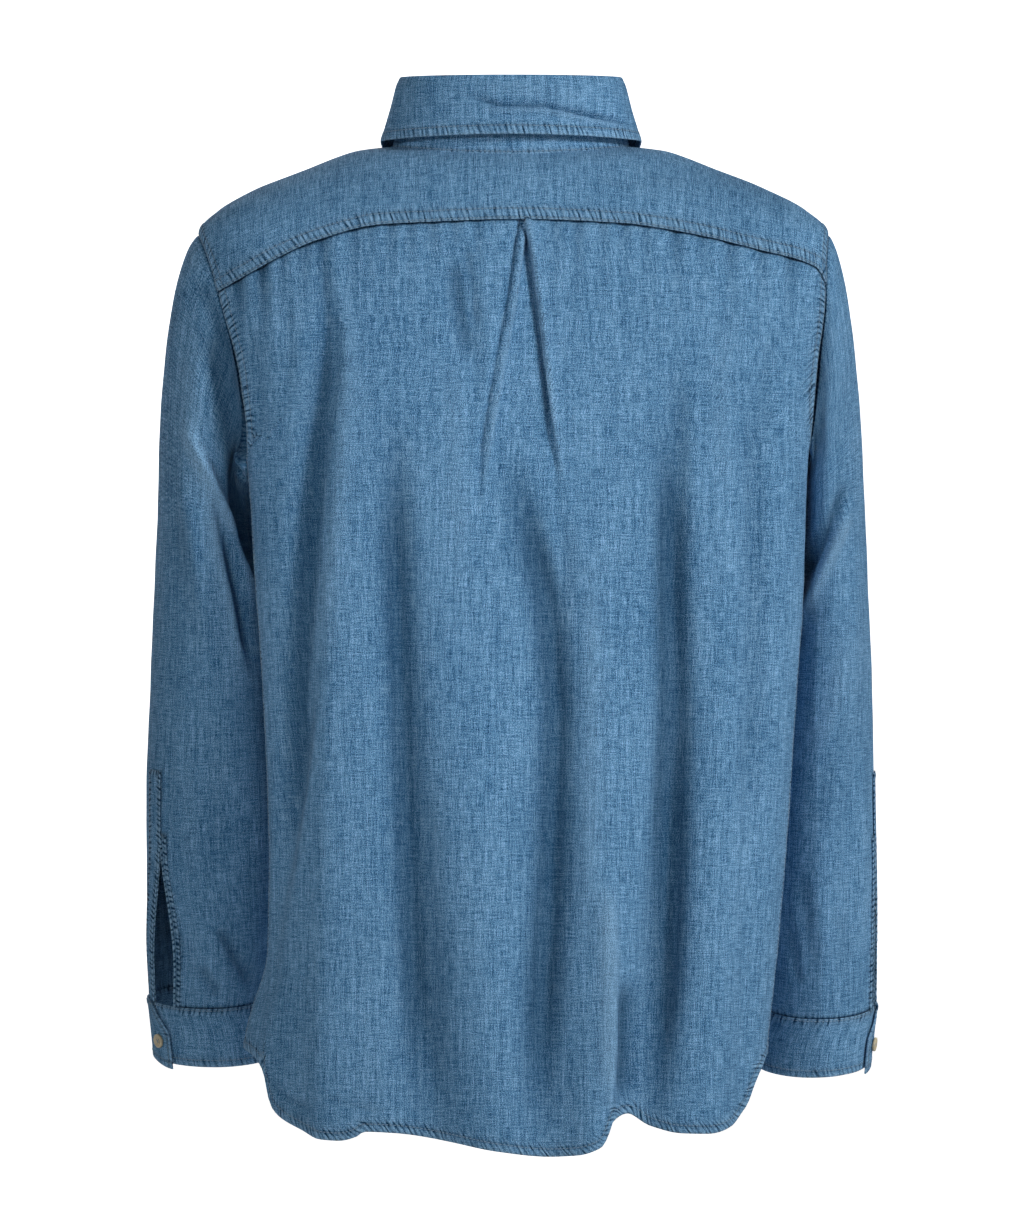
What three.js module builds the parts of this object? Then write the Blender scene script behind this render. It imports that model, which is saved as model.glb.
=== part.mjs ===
// A denim shirt, filled out with no wearer: yoke, back with a centre pleat, two fronts, a stand
// and fall collar, two long sleeves with slits, cuffs and buttons. Millimetres, +Z up. The front
// faces -Y and the wearer's left is +X. The origin is the middle of the neck, level with the
// points where the shoulders meet it.
import * as THREE from 'three';

// Cloth and seams
const WALL = 1.5;
const STIFF_WALL = 1.8; // two layers and an interlining: collar, stand and cuffs
const SEAM_GAP = 0.3; // clear of the next piece at every seam
const LAYER_GAP = 0.4; // clear of the panel that a strip lies on
const UNDERLAP_DEPTH = 4.2; // how far the right front passes behind the left one

// Seam samples: adjoining pieces share the points along each seam
const SHOULDER_STEPS = 8;
const BACK_NECK_STEPS = 18;
const FRONT_NECK_STEPS = 6;
const YOKE_ARMHOLE_STEPS = 7;
const BACK_ARMHOLE_STEPS = 8;
const FRONT_ARMHOLE_STEPS = 10;
const SIDE_SEAM_STEPS = 16;
const PLEAT_CROWDING = 0.5;
const FOOT_SHARE = { back: 0.49, front: 0.76 }; // how far down a panel the armhole's foot lies

// Turns round the body, in radians: the wearer's left, the right and the front
const LEFT = 0;
const RIGHT = Math.PI;
const FRONT = -Math.PI / 2;

// Rings round the body from the neck seam to the tails. side, back and front are heights, left
// and right half widths, widest the y of the widest line, rear and fore the depths behind and
// before it, power the squareness: 2 is an ellipse.
const BODY_RINGS = [
  { side: 3, back: -2, front: -62, left: 90, right: 90, widest: 0, rear: 54, fore: 62, power: 2 },
  { side: 0, back: -14, front: -84, left: 118, right: 118, widest: 0, rear: 72, fore: 80, power: 2 },
  { side: -15, back: -32, front: -106, left: 160, right: 160, widest: 2, rear: 86, fore: 94, power: 2 },
  { side: -31, back: -54, front: -130, left: 200, right: 200, widest: 4, rear: 96, fore: 108, power: 2.1 },
  { side: -47, back: -80, front: -158, left: 228, right: 230, widest: 7, rear: 101, fore: 122, power: 2.2 },
  { side: -66, back: -112, front: -190, left: 243, right: 247, widest: 10, rear: 102, fore: 134, power: 2.3 },
  { side: -110, back: -160, front: -225, left: 240, right: 249, widest: 16, rear: 99, fore: 144, power: 2.3 },
  { side: -170, back: -215, front: -262, left: 224, right: 240, widest: 24, rear: 92, fore: 155, power: 2.3 },
  { side: -245, back: -268, front: -292, left: 205, right: 231, widest: 32, rear: 84, fore: 165, power: 2.3 },
  { side: -330, back: -338, front: -345, left: 199, right: 228, widest: 35, rear: 81, fore: 170, power: 2.3 },
  { side: -435, back: -435, front: -435, left: 192, right: 221, widest: 36, rear: 83, fore: 169, power: 2.3 },
  { side: -540, back: -540, front: -540, left: 188, right: 214, widest: 35, rear: 89, fore: 165, power: 2.3 },
  { side: -622, back: -622, front: -622, left: 189, right: 207, widest: 33, rear: 95, fore: 160, power: 2.3 },
  { side: -700, back: -700, front: -700, left: 207, right: 199, widest: 29, rear: 101, fore: 155, power: 2.3 },
  { side: -800, back: -800, front: -800, left: 196, right: 194, widest: 28, rear: 104, fore: 153, power: 2.3 },
];

// Armhole: an oval in turn and ring level round its middle. back and fore are its reach in turn,
// lean how far its foot stands before its top.
const ARMHOLE_TOP = 5;
const ARMHOLE_FOOT = 8;
const ARMHOLES = {
  left: { back: 0.44, fore: 0.5, lean: 0 },
  right: { back: 0.34, fore: 0.52, lean: 0.2 },
};
const SHOULDER_SEAM_TURN = 0.32; // before the shoulder line
const SHOULDER_SEAM_LEVEL = 5.12; // where it meets the armhole

// Back yoke seam and tails, as heights across the body
const YOKE_SEAM = [
  { x: -248, z: -114 },
  { x: -237, z: -92 },
  { x: -191, z: -79 },
  { x: -140, z: -67 },
  { x: -85, z: -59 },
  { x: -8, z: -56 },
  { x: 71, z: -58.5 },
  { x: 101, z: -60 },
  { x: 150, z: -72 },
  { x: 206, z: -99 },
  { x: 230, z: -113 },
];
const BACK_TAIL = [
  { x: -200, z: -701 },
  { x: -191, z: -725 },
  { x: -184, z: -745 },
  { x: -171, z: -758.5 },
  { x: -150, z: -764 },
  { x: -132, z: -763.5 },
  { x: -110, z: -757.5 },
  { x: -93, z: -748 },
  { x: -80, z: -753 },
  { x: -75, z: -765 },
  { x: -69, z: -774 },
  { x: -51, z: -780 },
  { x: -30, z: -781 },
  { x: 10, z: -777 },
  { x: 50, z: -769 },
  { x: 90, z: -763 },
  { x: 113, z: -762 },
  { x: 119, z: -766 },
  { x: 131, z: -769 },
  { x: 145, z: -768 },
  { x: 159, z: -762 },
  { x: 177, z: -753 },
  { x: 187, z: -741 },
  { x: 189.5, z: -727 },
  { x: 194, z: -714 },
  { x: 208, z: -699 },
];
const FRONT_TAIL = [
  { x: -200, z: -701 },
  { x: -186, z: -722 },
  { x: -160, z: -741 },
  { x: -110, z: -754 },
  { x: -50, z: -757 },
  { x: 50, z: -757 },
  { x: 110, z: -754 },
  { x: 160, z: -741 },
  { x: 190, z: -720 },
  { x: 208, z: -699 },
];

// Soft folds down the back and the fronts. top, middle and foot are the x of the trough at those
// heights, from and to where it starts and is deepest, depth how far it sinks, or stands out when
// negative, near and away its widths toward +X and -X.
const FOLD_HEIGHTS = { top: -140, middle: -430, foot: -780 };
const BACK_FOLDS = [
  { top: 138, middle: 163, foot: 226, from: -110, to: -480, depth: 9, near: 18, away: 12 },
  { top: 128, middle: 138, foot: 146, from: -150, to: -560, depth: -6, near: 14, away: 26 },
  { top: 88, middle: 79, foot: 60, from: -190, to: -700, depth: 8, near: 26, away: 20 },
  { top: 40, middle: 32, foot: 12, from: -200, to: -640, depth: -6, near: 26, away: 26 },
  { top: -20, middle: -34, foot: -30, from: -250, to: -600, depth: 5, near: 20, away: 26 },
  { top: -72, middle: -74, foot: -62, from: -200, to: -740, depth: -7, near: 22, away: 18 },
  { top: -136, middle: -128, foot: -94, from: -190, to: -740, depth: 14, near: 18, away: 24 },
  { top: -164, middle: -160, foot: -150, from: -200, to: -600, depth: -5, near: 20, away: 20 },
  { top: -188, middle: -188, foot: -180, from: -160, to: -420, depth: 4, near: 12, away: 12 },
];
const FRONT_FOLDS = [
  { top: 150, middle: 158, foot: 165, from: -180, to: -620, depth: 9, near: 22, away: 16 },
  { top: 104, middle: 106, foot: 118, from: -200, to: -680, depth: -7, near: 22, away: 22 },
  { top: 60, middle: 66, foot: 72, from: -230, to: -700, depth: 9, near: 18, away: 22 },
  { top: -66, middle: -60, foot: -70, from: -260, to: -720, depth: 8, near: 22, away: 18 },
  { top: -110, middle: -104, foot: -112, from: -220, to: -640, depth: -7, near: 20, away: 24 },
  { top: -150, middle: -152, foot: -158, from: -170, to: -660, depth: 10, near: 18, away: 20 },
];

// Centre pleat of the back: two folded edges that part from one point under the yoke
const PLEAT = {
  apex: -9, // x under the yoke seam
  leftFoot: 22, // x of the left folded edge where it fades
  rightFoot: -40,
  top: -57,
  bottom: -300,
  depth: 9,
  edge: 5, // half width of each folded edge
};

// Collar rings, with the same columns as the body's
const STAND_TOP = { side: 40, back: 38, front: -27, left: 85, right: 85, widest: 0, rear: 49, fore: 60, power: 2 };
const FOLD_INSIDE = { side: 54, back: 55, front: -15, left: 83, right: 83, widest: 0, rear: 48, fore: 59.5, power: 2.1 };
const FOLD_LINE = { side: 57, back: 57.5, front: -11, left: 86, right: 86, widest: 0, rear: 51, fore: 64.5, power: 2.2 };
const FOLD_OUTSIDE = { side: 52, back: 53, front: -17, left: 89, right: 89, widest: 0, rear: 54.5, fore: 68, power: 2.2 };
const FALL_MIDDLE = { side: 30, back: 33, front: -42, left: 95, right: 95, widest: 0, rear: 59, fore: 77, power: 2.1 };
const FALL_EDGE = { side: 7, back: 11, front: -66, left: 102, right: 102, widest: 0, rear: 63.5, fore: 89, power: 2 };
const COLLAR_STEPS = 30;
const STAND_OVERLAP_TURN = 0.24; // past the middle of the front, at each end
const FALL_END_TURN = 0.1; // short of the middle of the front
const FALL_POINT_TURN = 0.42; // how much further away the points of the fall stand
const FALL_POINT_DROP = 22;

// Sleeve rings below the cap. z is the height, x and y the middle, across and deep the half
// widths in x and y, lean how steeply the ring drops toward the back.
const SLEEVE_RINGS = {
  left: [
    { z: -285, x: 236.5, y: -34, across: 40, deep: 72, lean: 0 },
    { z: -350, x: 235.2, y: -39, across: 44.6, deep: 69, lean: 0.02 },
    { z: -421, x: 233.5, y: -46, across: 49.3, deep: 65, lean: 0.04 },
    { z: -515, x: 233, y: -60, across: 53, deep: 58, lean: 0.08 },
    { z: -608, x: 234.5, y: -79, across: 51.5, deep: 48, lean: 0.14 },
    { z: -662, x: 238, y: -90, across: 45.5, deep: 40, lean: 0.22 },
  ],
  right: [
    { z: -285, x: -251, y: -48, across: 26.5, deep: 82, lean: 0 },
    { z: -350, x: -249.5, y: -55, across: 31, deep: 78, lean: 0.02 },
    { z: -421, x: -246.5, y: -62, across: 37, deep: 72, lean: 0.04 },
    { z: -515, x: -242.5, y: -73, across: 42.5, deep: 62, lean: 0.08 },
    { z: -608, x: -242, y: -86, across: 44.5, deep: 49, lean: 0.16 },
    { z: -668, x: -241.5, y: -96, across: 44.5, deep: 40, lean: 0.28 },
  ],
};
const CAP_STEPS = 6;
const ARM_STEPS = 17;
const SLIT_ROWS = 6; // of the arm's rows that the slit divides
const SLIT_COLUMN = { left: 5, right: 3 }; // armhole point from which the slit's line comes down
const SLIT_SPREAD = { left: 0.26, right: 0.1 }; // half the slit's opening, as a turn
const CAP_OUTWARD = { left: 0.84, right: 0.62 }; // how far to the side the cap leaves the armhole
const CAP_DRAWN_IN = { left: 0, right: 3 }; // how far the cap is pulled back toward the body
const CAP_LEAVE = { over: 28, under: 14 }; // how straight the cap leaves the armhole
const CAP_ARRIVE = { over: 95, under: 12 };

// Long creases of the sleeves: turn is behind the outermost line, at the top and the foot
const SLEEVE_CREASES = {
  left: [
    { from: -140, to: -320, turnTop: 1.5, turnFoot: 1.9, depth: 6, width: 0.28 },
    { from: -220, to: -420, turnTop: 1.0, turnFoot: 1.5, depth: -4, width: 0.25 },
    { from: -280, to: -520, turnTop: 0.9, turnFoot: 1.6, depth: 5, width: 0.3 },
    { from: -560, to: -665, turnTop: 1.0, turnFoot: 1.4, depth: 4, width: 0.25 },
    { from: -300, to: -600, turnTop: -1.2, turnFoot: -1.7, depth: 5, width: 0.35 },
  ],
  right: [
    { from: -150, to: -330, turnTop: 1.2, turnFoot: 1.6, depth: 5, width: 0.3 },
    { from: -290, to: -520, turnTop: 0.8, turnFoot: 1.4, depth: -4, width: 0.3 },
    { from: -430, to: -650, turnTop: 0.9, turnFoot: 1.2, depth: 4, width: 0.25 },
    { from: -300, to: -600, turnTop: -1.1, turnFoot: -1.6, depth: 5, width: 0.35 },
  ],
};

// Cuffs
const CUFF_HEIGHT = 46;
const CUFF_STEPS = 26;
const CUFF_OVERLAP_TURN = 0.46;
const CUFF_START = { left: 0.38, right: 0 }; // turn of the under end behind the outermost line
const CUFF_INWARD = { left: 4.5, right: 5 }; // how far the wrist edge stands nearer the body
const CUFF_CORNER_TURN = 0.42; // how far the cut corner of the over end stands back
const CUFF_END_DROP = 4; // how far the over end hangs below the rest

// Plackets and buttons
const PLACKET_WIDTH = 34;
const PLACKET_WALL = 1.2;
const PLACKET_TOP_LEVEL = 0.1; // ring level of its top, just under the stand
const PLACKET_STEPS = 40;
const BUTTON_RADIUS = 5.6;
const BUTTON_THICKNESS = 2.6;
const FRONT_BUTTON_HEIGHTS = [-118, -206, -294, -382, -470, -558, -646];

const DENIM = { color: 0x5f88ad, roughness: 0.9, metalness: 0 };
const BUTTON_CREAM = { color: 0xe6dcc0, roughness: 0.35, metalness: 0 };

const clamp = (value, low, high) => Math.min(high, Math.max(low, value));
const mix = (a, b, share) => a + (b - a) * share;

function ease(start, end, value) {
  const share = clamp((value - start) / (end - start), 0, 1);
  return share * share * (3 - 2 * share);
}

// A curve through (keys[i], values[i]) that keeps rising where they rise: cubic pieces whose end
// slopes are the harmonic means of the slopes beside them.
function curveThrough(keys, values, key) {
  const last = keys.length - 1;
  const place = clamp(key, keys[0], keys[last]);
  let i = 0;
  while (i < last - 1 && place > keys[i + 1]) i += 1;
  const slope = (k) => (values[k + 1] - values[k]) / (keys[k + 1] - keys[k]);
  const tangent = (k) => {
    if (k === 0) return slope(0);
    if (k === last) return slope(last - 1);
    const before = slope(k - 1);
    const after = slope(k);
    return before * after <= 0 ? 0 : (2 * before * after) / (before + after);
  };
  const width = keys[i + 1] - keys[i];
  const t = (place - keys[i]) / width;
  const rise = t * t * (3 - 2 * t);
  return (
    mix(values[i], values[i + 1], rise) +
    width * t * (1 - t) * ((1 - t) * tangent(i) - t * tangent(i + 1))
  );
}

const heightAcross = (outline) => {
  const xs = outline.map((row) => row.x);
  const zs = outline.map((row) => row.z);
  return (x) => curveThrough(xs, zs, x);
};

function rowBetween(rows, keys, key) {
  const row = {};
  for (const name of Object.keys(rows[0])) {
    row[name] = curveThrough(keys, rows.map((each) => each[name]), key);
  }
  return row;
}

// A point of a ring: an ellipse, squared by its power, whose height runs from the sides' to the
// back's or the front's with the square of the sine.
function ringPoint(ring, turn) {
  const c = Math.cos(turn);
  const s = Math.sin(turn);
  const reach = (Math.abs(c) ** ring.power + Math.abs(s) ** ring.power) ** (-1 / ring.power);
  const half = c > 0 ? ring.left : ring.right;
  const depth = s > 0 ? ring.rear : ring.fore;
  const low = s > 0 ? ring.back : ring.front;
  return new THREE.Vector3(
    half * c * reach,
    ring.widest + depth * s * reach,
    mix(ring.side, low, s * s),
  );
}

const BODY_LEVELS = BODY_RINGS.map((_, index) => index);
const bodyBase = (turn, level) => ringPoint(rowBetween(BODY_RINGS, BODY_LEVELS, level), turn);

function normalOf(surface, a, b, step = 0.004) {
  const across = surface(a + step, b).sub(surface(a - step, b));
  const down = surface(a, b + step).sub(surface(a, b - step));
  return down.cross(across).normalize();
}

function foldDepth(folds, x, z) {
  let depth = 0;
  for (const fold of folds) {
    const keys = [-FOLD_HEIGHTS.top, -FOLD_HEIGHTS.middle, -FOLD_HEIGHTS.foot];
    const line = curveThrough(keys, [fold.top, fold.middle, fold.foot], -z);
    const side = x > line ? fold.near : fold.away;
    depth += fold.depth * ease(fold.from, fold.to, z) * Math.exp(-(((x - line) / side) ** 2));
  }
  return depth;
}

// Centre pleat: inside its two folded edges the cloth lies deeper, and fades out down the back
function pleatDepth(x, z) {
  const share = clamp((PLEAT.top - z) / (PLEAT.top - PLEAT.bottom), 0, 1);
  const left = mix(PLEAT.apex, PLEAT.leftFoot, share);
  const right = mix(PLEAT.apex, PLEAT.rightFoot, share);
  const inside = ease(left + PLEAT.edge, left - PLEAT.edge, x) * ease(right - PLEAT.edge, right + PLEAT.edge, x);
  return PLEAT.depth * inside * (1 - ease(0.35, 1, share)) * ease(0, 0.06, share);
}

// The shirt's body: the rings, moved in by the folds of the back or the fronts
function bodySurface(turn, level) {
  const point = bodyBase(turn, level);
  const behind = Math.sin(turn);
  const depth = behind > 0
    ? foldDepth(BACK_FOLDS, point.x, point.z) + pleatDepth(point.x, point.z)
    : foldDepth(FRONT_FOLDS, point.x, point.z);
  const shown = ease(0.12, 0.5, Math.abs(behind));
  return point.addScaledVector(normalOf(bodyBase, turn, level), -depth * shown);
}

const mirrorTurn = (side, turn) => (side === 'left' ? turn : Math.PI - turn);

// A point of an armhole, as turn and level. angle is 0 at the back, a quarter turn at the top.
function armholePlace(side, angle) {
  const shape = ARMHOLES[side];
  const middle = (ARMHOLE_TOP + ARMHOLE_FOOT) / 2;
  const half = (ARMHOLE_FOOT - ARMHOLE_TOP) / 2;
  const level = middle - half * Math.sin(angle);
  const reach = Math.cos(angle) > 0 ? shape.back : shape.fore;
  const lean = (shape.lean * (level - ARMHOLE_TOP)) / (ARMHOLE_FOOT - ARMHOLE_TOP);
  return { turn: mirrorTurn(side, reach * Math.cos(angle) - lean), level };
}

// The value between low and high at which rising turns positive
function crossing(low, high, rising) {
  let a = low;
  let b = high;
  for (let i = 0; i < 40; i += 1) {
    const middle = (a + b) / 2;
    if (rising(middle) > 0) b = middle;
    else a = middle;
  }
  return (a + b) / 2;
}

const yokeSeamHeight = heightAcross(YOKE_SEAM);
const tailHeight = { back: heightAcross(BACK_TAIL), front: heightAcross(FRONT_TAIL) };

// The ring level at which a line down the body meets an outline
function levelAt(turn, outline, low, high) {
  return crossing(low, high, (level) => {
    const point = bodyBase(turn, level);
    return outline(point.x) - point.z;
  });
}

const steps = (count, make) => Array.from({ length: count + 1 }, (_, i) => make(i / count));

// Shared seam lines, each a list of places in turn and level
function armholeSeams(side) {
  const half = (ARMHOLE_FOOT - ARMHOLE_TOP) / 2;
  const frontCorner = Math.PI - Math.asin((ARMHOLE_TOP + half - SHOULDER_SEAM_LEVEL) / half);
  const backCorner = crossing(Math.PI / 2, -0.5, (angle) => {
    const place = armholePlace(side, angle);
    const point = bodyBase(place.turn, place.level);
    return yokeSeamHeight(point.x) - point.z;
  });
  const along = (start, end, count) =>
    steps(count, (share) => armholePlace(side, mix(start, end, share)));
  return {
    yoke: along(frontCorner, backCorner, YOKE_ARMHOLE_STEPS),
    back: along(backCorner, -Math.PI / 2, BACK_ARMHOLE_STEPS),
    front: along(-Math.PI / 2, frontCorner - 2 * Math.PI, FRONT_ARMHOLE_STEPS),
  };
}

const ARMHOLE_SEAMS = { left: armholeSeams('left'), right: armholeSeams('right') };

function sideSeam(side) {
  const foot = ARMHOLE_SEAMS[side].back[BACK_ARMHOLE_STEPS];
  const turn = mirrorTurn(side, 0);
  const end = levelAt(turn, tailHeight.back, ARMHOLE_FOOT, BODY_RINGS.length - 1);
  return steps(SIDE_SEAM_STEPS, (share) => ({
    turn: mix(foot.turn, turn, ease(0, 0.4, share)),
    level: mix(foot.level, end, share),
  }));
}

const SIDE_SEAMS = { left: sideSeam('left'), right: sideSeam('right') };

function shoulderSeam(side) {
  const end = ARMHOLE_SEAMS[side].yoke[0];
  const start = mirrorTurn(side, -SHOULDER_SEAM_TURN);
  return steps(SHOULDER_STEPS, (share) => ({
    turn: mix(start, end.turn, share),
    level: mix(0, end.level, share),
  }));
}

const SHOULDER_SEAMS = { left: shoulderSeam('left'), right: shoulderSeam('right') };

// Shares from 0 to 1 that lie closer together in the middle, where the pleat is
const closerInMiddle = (share) => share + (PLEAT_CROWDING * Math.sin(2 * Math.PI * share)) / (2 * Math.PI);

function yokeSeam() {
  const left = ARMHOLE_SEAMS.left.back[0];
  const right = ARMHOLE_SEAMS.right.back[0];
  const seam = steps(2 * SHOULDER_STEPS + BACK_NECK_STEPS, (share) => {
    const turn = mix(left.turn, right.turn, closerInMiddle(share));
    return { turn, level: levelAt(turn, yokeSeamHeight, 1, ARMHOLE_FOOT) };
  });
  seam[0] = left;
  seam[seam.length - 1] = right;
  return seam;
}

const YOKE_SEAM_PLACES = yokeSeam();

// A patch between four lines of places: left and right run down, top and bottom run across, and
// shares says how far down each row lies. Each place inside is the sum of the two blends less the
// blend of the four corners.
function patch(top, bottom, left, right, shares) {
  const columns = top.length - 1;
  const blend = (i, j, name) => {
    const u = j / columns;
    const v = shares[i];
    const corners =
      (1 - u) * (1 - v) * top[0][name] + u * (1 - v) * top[columns][name] +
      (1 - u) * v * bottom[0][name] + u * v * bottom[columns][name];
    return (
      mix(top[j][name], bottom[j][name], v) + mix(left[i][name], right[i][name], u) - corners
    );
  };
  return left.map((_, i) =>
    top.map((__, j) => ({ turn: blend(i, j, 'turn'), level: blend(i, j, 'level') })),
  );
}

// How far down each row of a panel lies: even above the foot of the armhole, and even below it
function rowShares(above, footShare) {
  const upper = steps(above, (share) => share * footShare);
  const lower = steps(SIDE_SEAM_STEPS, (share) => mix(footShare, 1, share));
  return [...upper, ...lower.slice(1)];
}

// Rows of outer points and of the directions in which their wall faces
function pointsOf(places, surface) {
  return {
    points: places.map((row) => row.map((place) => surface(place.turn, place.level))),
    normals: places.map((row) => row.map((place) => normalOf(surface, place.turn, place.level))),
  };
}

// Draws the open edges of a sheet back from its seams, square to each edge
function insetEdges(sheet, edges, gap = SEAM_GAP / 2) {
  const { points } = sheet;
  const rows = points.length - 1;
  const columns = points[0].length - 1;
  const pull = (i, j, inner, before, after) => {
    const along = after.clone().sub(before).normalize();
    const inward = inner.clone().sub(points[i][j]);
    inward.addScaledVector(along, -inward.dot(along)).normalize();
    return { i, j, inward };
  };
  const moves = [];
  for (let i = 0; i <= rows; i += 1) {
    const before = Math.max(0, i - 1);
    const after = Math.min(rows, i + 1);
    if (edges.includes('left')) {
      moves.push(pull(i, 0, points[i][1], points[before][0], points[after][0]));
    }
    if (edges.includes('right')) {
      const end = columns;
      moves.push(pull(i, end, points[i][end - 1], points[before][end], points[after][end]));
    }
  }
  for (let j = 0; j <= columns; j += 1) {
    const before = Math.max(0, j - 1);
    const after = Math.min(columns, j + 1);
    if (edges.includes('top')) {
      moves.push(pull(0, j, points[1][j], points[0][before], points[0][after]));
    }
    if (edges.includes('bottom')) {
      const end = rows;
      moves.push(pull(end, j, points[end - 1][j], points[end][before], points[end][after]));
    }
  }
  for (const { i, j, inward } of moves) points[i][j].addScaledVector(inward, gap);
  return sheet;
}

// A closed wall from rows of points: the outer face, the inner face and a rim along each open
// edge. joined(i) says whether row i closes round, its last point being its first.
function wallOf({ points, normals }, thickness, joined = () => false) {
  const rows = points.length;
  const columns = points[0].length;
  const index = [];
  const outer = [];
  const inner = [];
  for (let i = 0; i < rows; i += 1) {
    index.push([]);
    for (let j = 0; j < columns; j += 1) {
      if (j === columns - 1 && joined(i)) {
        index[i].push(index[i][0]);
      } else {
        index[i].push(outer.length);
        outer.push(points[i][j]);
        inner.push(points[i][j].clone().addScaledVector(normals[i][j], -thickness));
      }
    }
  }
  const faces = [];
  for (let i = 0; i < rows - 1; i += 1) {
    for (let j = 0; j < columns - 1; j += 1) {
      const [a, b, c, d] = [index[i][j], index[i + 1][j], index[i + 1][j + 1], index[i][j + 1]];
      faces.push([a, b, c], [a, c, d]);
    }
  }
  return closedShell(outer, inner, faces);
}

function closedShell(outer, inner, faces) {
  const count = outer.length;
  const edgeKey = (a, b) => `${a} ${b}`;
  const used = new Set();
  for (const [a, b, c] of faces) {
    used.add(edgeKey(a, b));
    used.add(edgeKey(b, c));
    used.add(edgeKey(c, a));
  }
  const triangles = [];
  for (const [a, b, c] of faces) {
    triangles.push(a, b, c, c + count, b + count, a + count);
    for (const [from, to] of [[a, b], [b, c], [c, a]]) {
      if (!used.has(edgeKey(to, from))) {
        triangles.push(to, from, from + count, to, from + count, to + count);
      }
    }
  }
  const geometry = new THREE.BufferGeometry();
  const positions = [...outer, ...inner].flatMap((point) => [point.x, point.y, point.z]);
  geometry.setAttribute('position', new THREE.Float32BufferAttribute(positions, 3));
  geometry.setIndex(triangles);
  geometry.computeVertexNormals();
  return geometry;
}

function cloth(name, geometry) {
  const mesh = new THREE.Mesh(geometry, new THREE.MeshStandardMaterial(DENIM));
  mesh.name = name;
  return mesh;
}

function yoke() {
  const neck = steps(BACK_NECK_STEPS, (share) => ({
    turn: mix(SHOULDER_SEAMS.left[0].turn, SHOULDER_SEAMS.right[0].turn, share),
    level: 0,
  }));
  const front = [
    ...SHOULDER_SEAMS.left.slice(1).reverse(),
    ...neck,
    ...SHOULDER_SEAMS.right.slice(1),
  ];
  const { left, right } = ARMHOLE_SEAMS;
  const shares = steps(YOKE_ARMHOLE_STEPS, (share) => share);
  const places = patch(front, YOKE_SEAM_PLACES, left.yoke, right.yoke, shares);
  const sheet = insetEdges(pointsOf(places, bodySurface), ['top', 'bottom', 'left', 'right']);
  return cloth('yoke', wallOf(sheet, WALL));
}

function back() {
  const left = [...ARMHOLE_SEAMS.left.back, ...SIDE_SEAMS.left.slice(1)];
  const right = [...ARMHOLE_SEAMS.right.back, ...SIDE_SEAMS.right.slice(1)];
  const tail = YOKE_SEAM_PLACES.map((_, j) => {
    const share = closerInMiddle(j / (YOKE_SEAM_PLACES.length - 1));
    const turn = mix(LEFT, RIGHT, share);
    return { turn, level: levelAt(turn, tailHeight.back, ARMHOLE_FOOT, BODY_RINGS.length - 1) };
  });
  const shares = rowShares(BACK_ARMHOLE_STEPS, FOOT_SHARE.back);
  const places = patch(YOKE_SEAM_PLACES, tail, left, right, shares);
  const sheet = insetEdges(pointsOf(places, bodySurface), ['top', 'left', 'right']);
  return cloth('back', wallOf(sheet, WALL));
}

// The right front passes behind the left one at the middle
function frontSurface(side) {
  if (side === 'left') return bodySurface;
  return (turn, level) => {
    const point = bodySurface(turn, level);
    const behind = UNDERLAP_DEPTH * ease(-60, -24, point.x);
    return point.addScaledVector(normalOf(bodyBase, turn, level), -behind);
  };
}

function frontPlaces(side) {
  const past = side === 'left' ? -1 : 1; // each front runs past the middle to the other side
  const edge = (level) => {
    const ring = rowBetween(BODY_RINGS, BODY_LEVELS, level);
    return FRONT + (past * PLACKET_WIDTH) / 2 / (past < 0 ? ring.right : ring.left);
  };
  const seam = SHOULDER_SEAMS[side];
  const toward = side === 'left' ? 0 : -2 * Math.PI; // keeps the right side's turns in one run
  const shift = (place) => ({ turn: place.turn + toward, level: place.level });
  const neck = steps(FRONT_NECK_STEPS, (share) => ({
    turn: mix(edge(0), seam[0].turn + toward, share),
    level: 0,
  }));
  const top = [...neck, ...seam.slice(1).map(shift)];
  const armhole = [...ARMHOLE_SEAMS[side].front].reverse();
  const outside = [...armhole, ...SIDE_SEAMS[side].slice(1)].map(shift);
  const lowest = BODY_RINGS.length - 1;
  const middleEnd = levelAt(edge(13), tailHeight.front, ARMHOLE_FOOT, lowest);
  const shares = rowShares(FRONT_ARMHOLE_STEPS, FOOT_SHARE.front);
  const inside = shares.map((share) => {
    const level = middleEnd * share;
    return { turn: edge(level), level };
  });
  const sideTurn = outside[outside.length - 1].turn;
  const tail = top.map((_, j) => {
    const turn = mix(inside[inside.length - 1].turn, sideTurn, j / (top.length - 1));
    return { turn, level: levelAt(turn, tailHeight.front, ARMHOLE_FOOT, lowest) };
  });
  tail[0] = inside[inside.length - 1];
  tail[tail.length - 1] = outside[outside.length - 1];
  return patch(top, tail, inside, outside, shares);
}

// Turned over left to right, so that its faces still point out
const reversedRows = (rows) => rows.map((row) => [...row].reverse());

function front(side) {
  const surface = frontSurface(side);
  const places = frontPlaces(side);
  const sheet = pointsOf(side === 'left' ? places : reversedRows(places), surface);
  insetEdges(sheet, ['top', side === 'left' ? 'right' : 'left']);
  return cloth(`front_${side}`, wallOf(sheet, WALL));
}

// Directions square to a grid of points, from its neighbours; joined as for wallOf
function gridNormals(points, joined = () => false) {
  const rows = points.length - 1;
  const columns = points[0].length - 1;
  return points.map((row, i) =>
    row.map((_, j) => {
      const round = joined(i);
      const next = j < columns ? j + 1 : round ? 1 : columns;
      const before = j > 0 ? j - 1 : round ? columns - 1 : 0;
      const across = row[next].clone().sub(row[before]);
      const down = points[Math.min(rows, i + 1)][j].clone().sub(points[Math.max(0, i - 1)][j]);
      return down.cross(across).normalize();
    }),
  );
}

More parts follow.
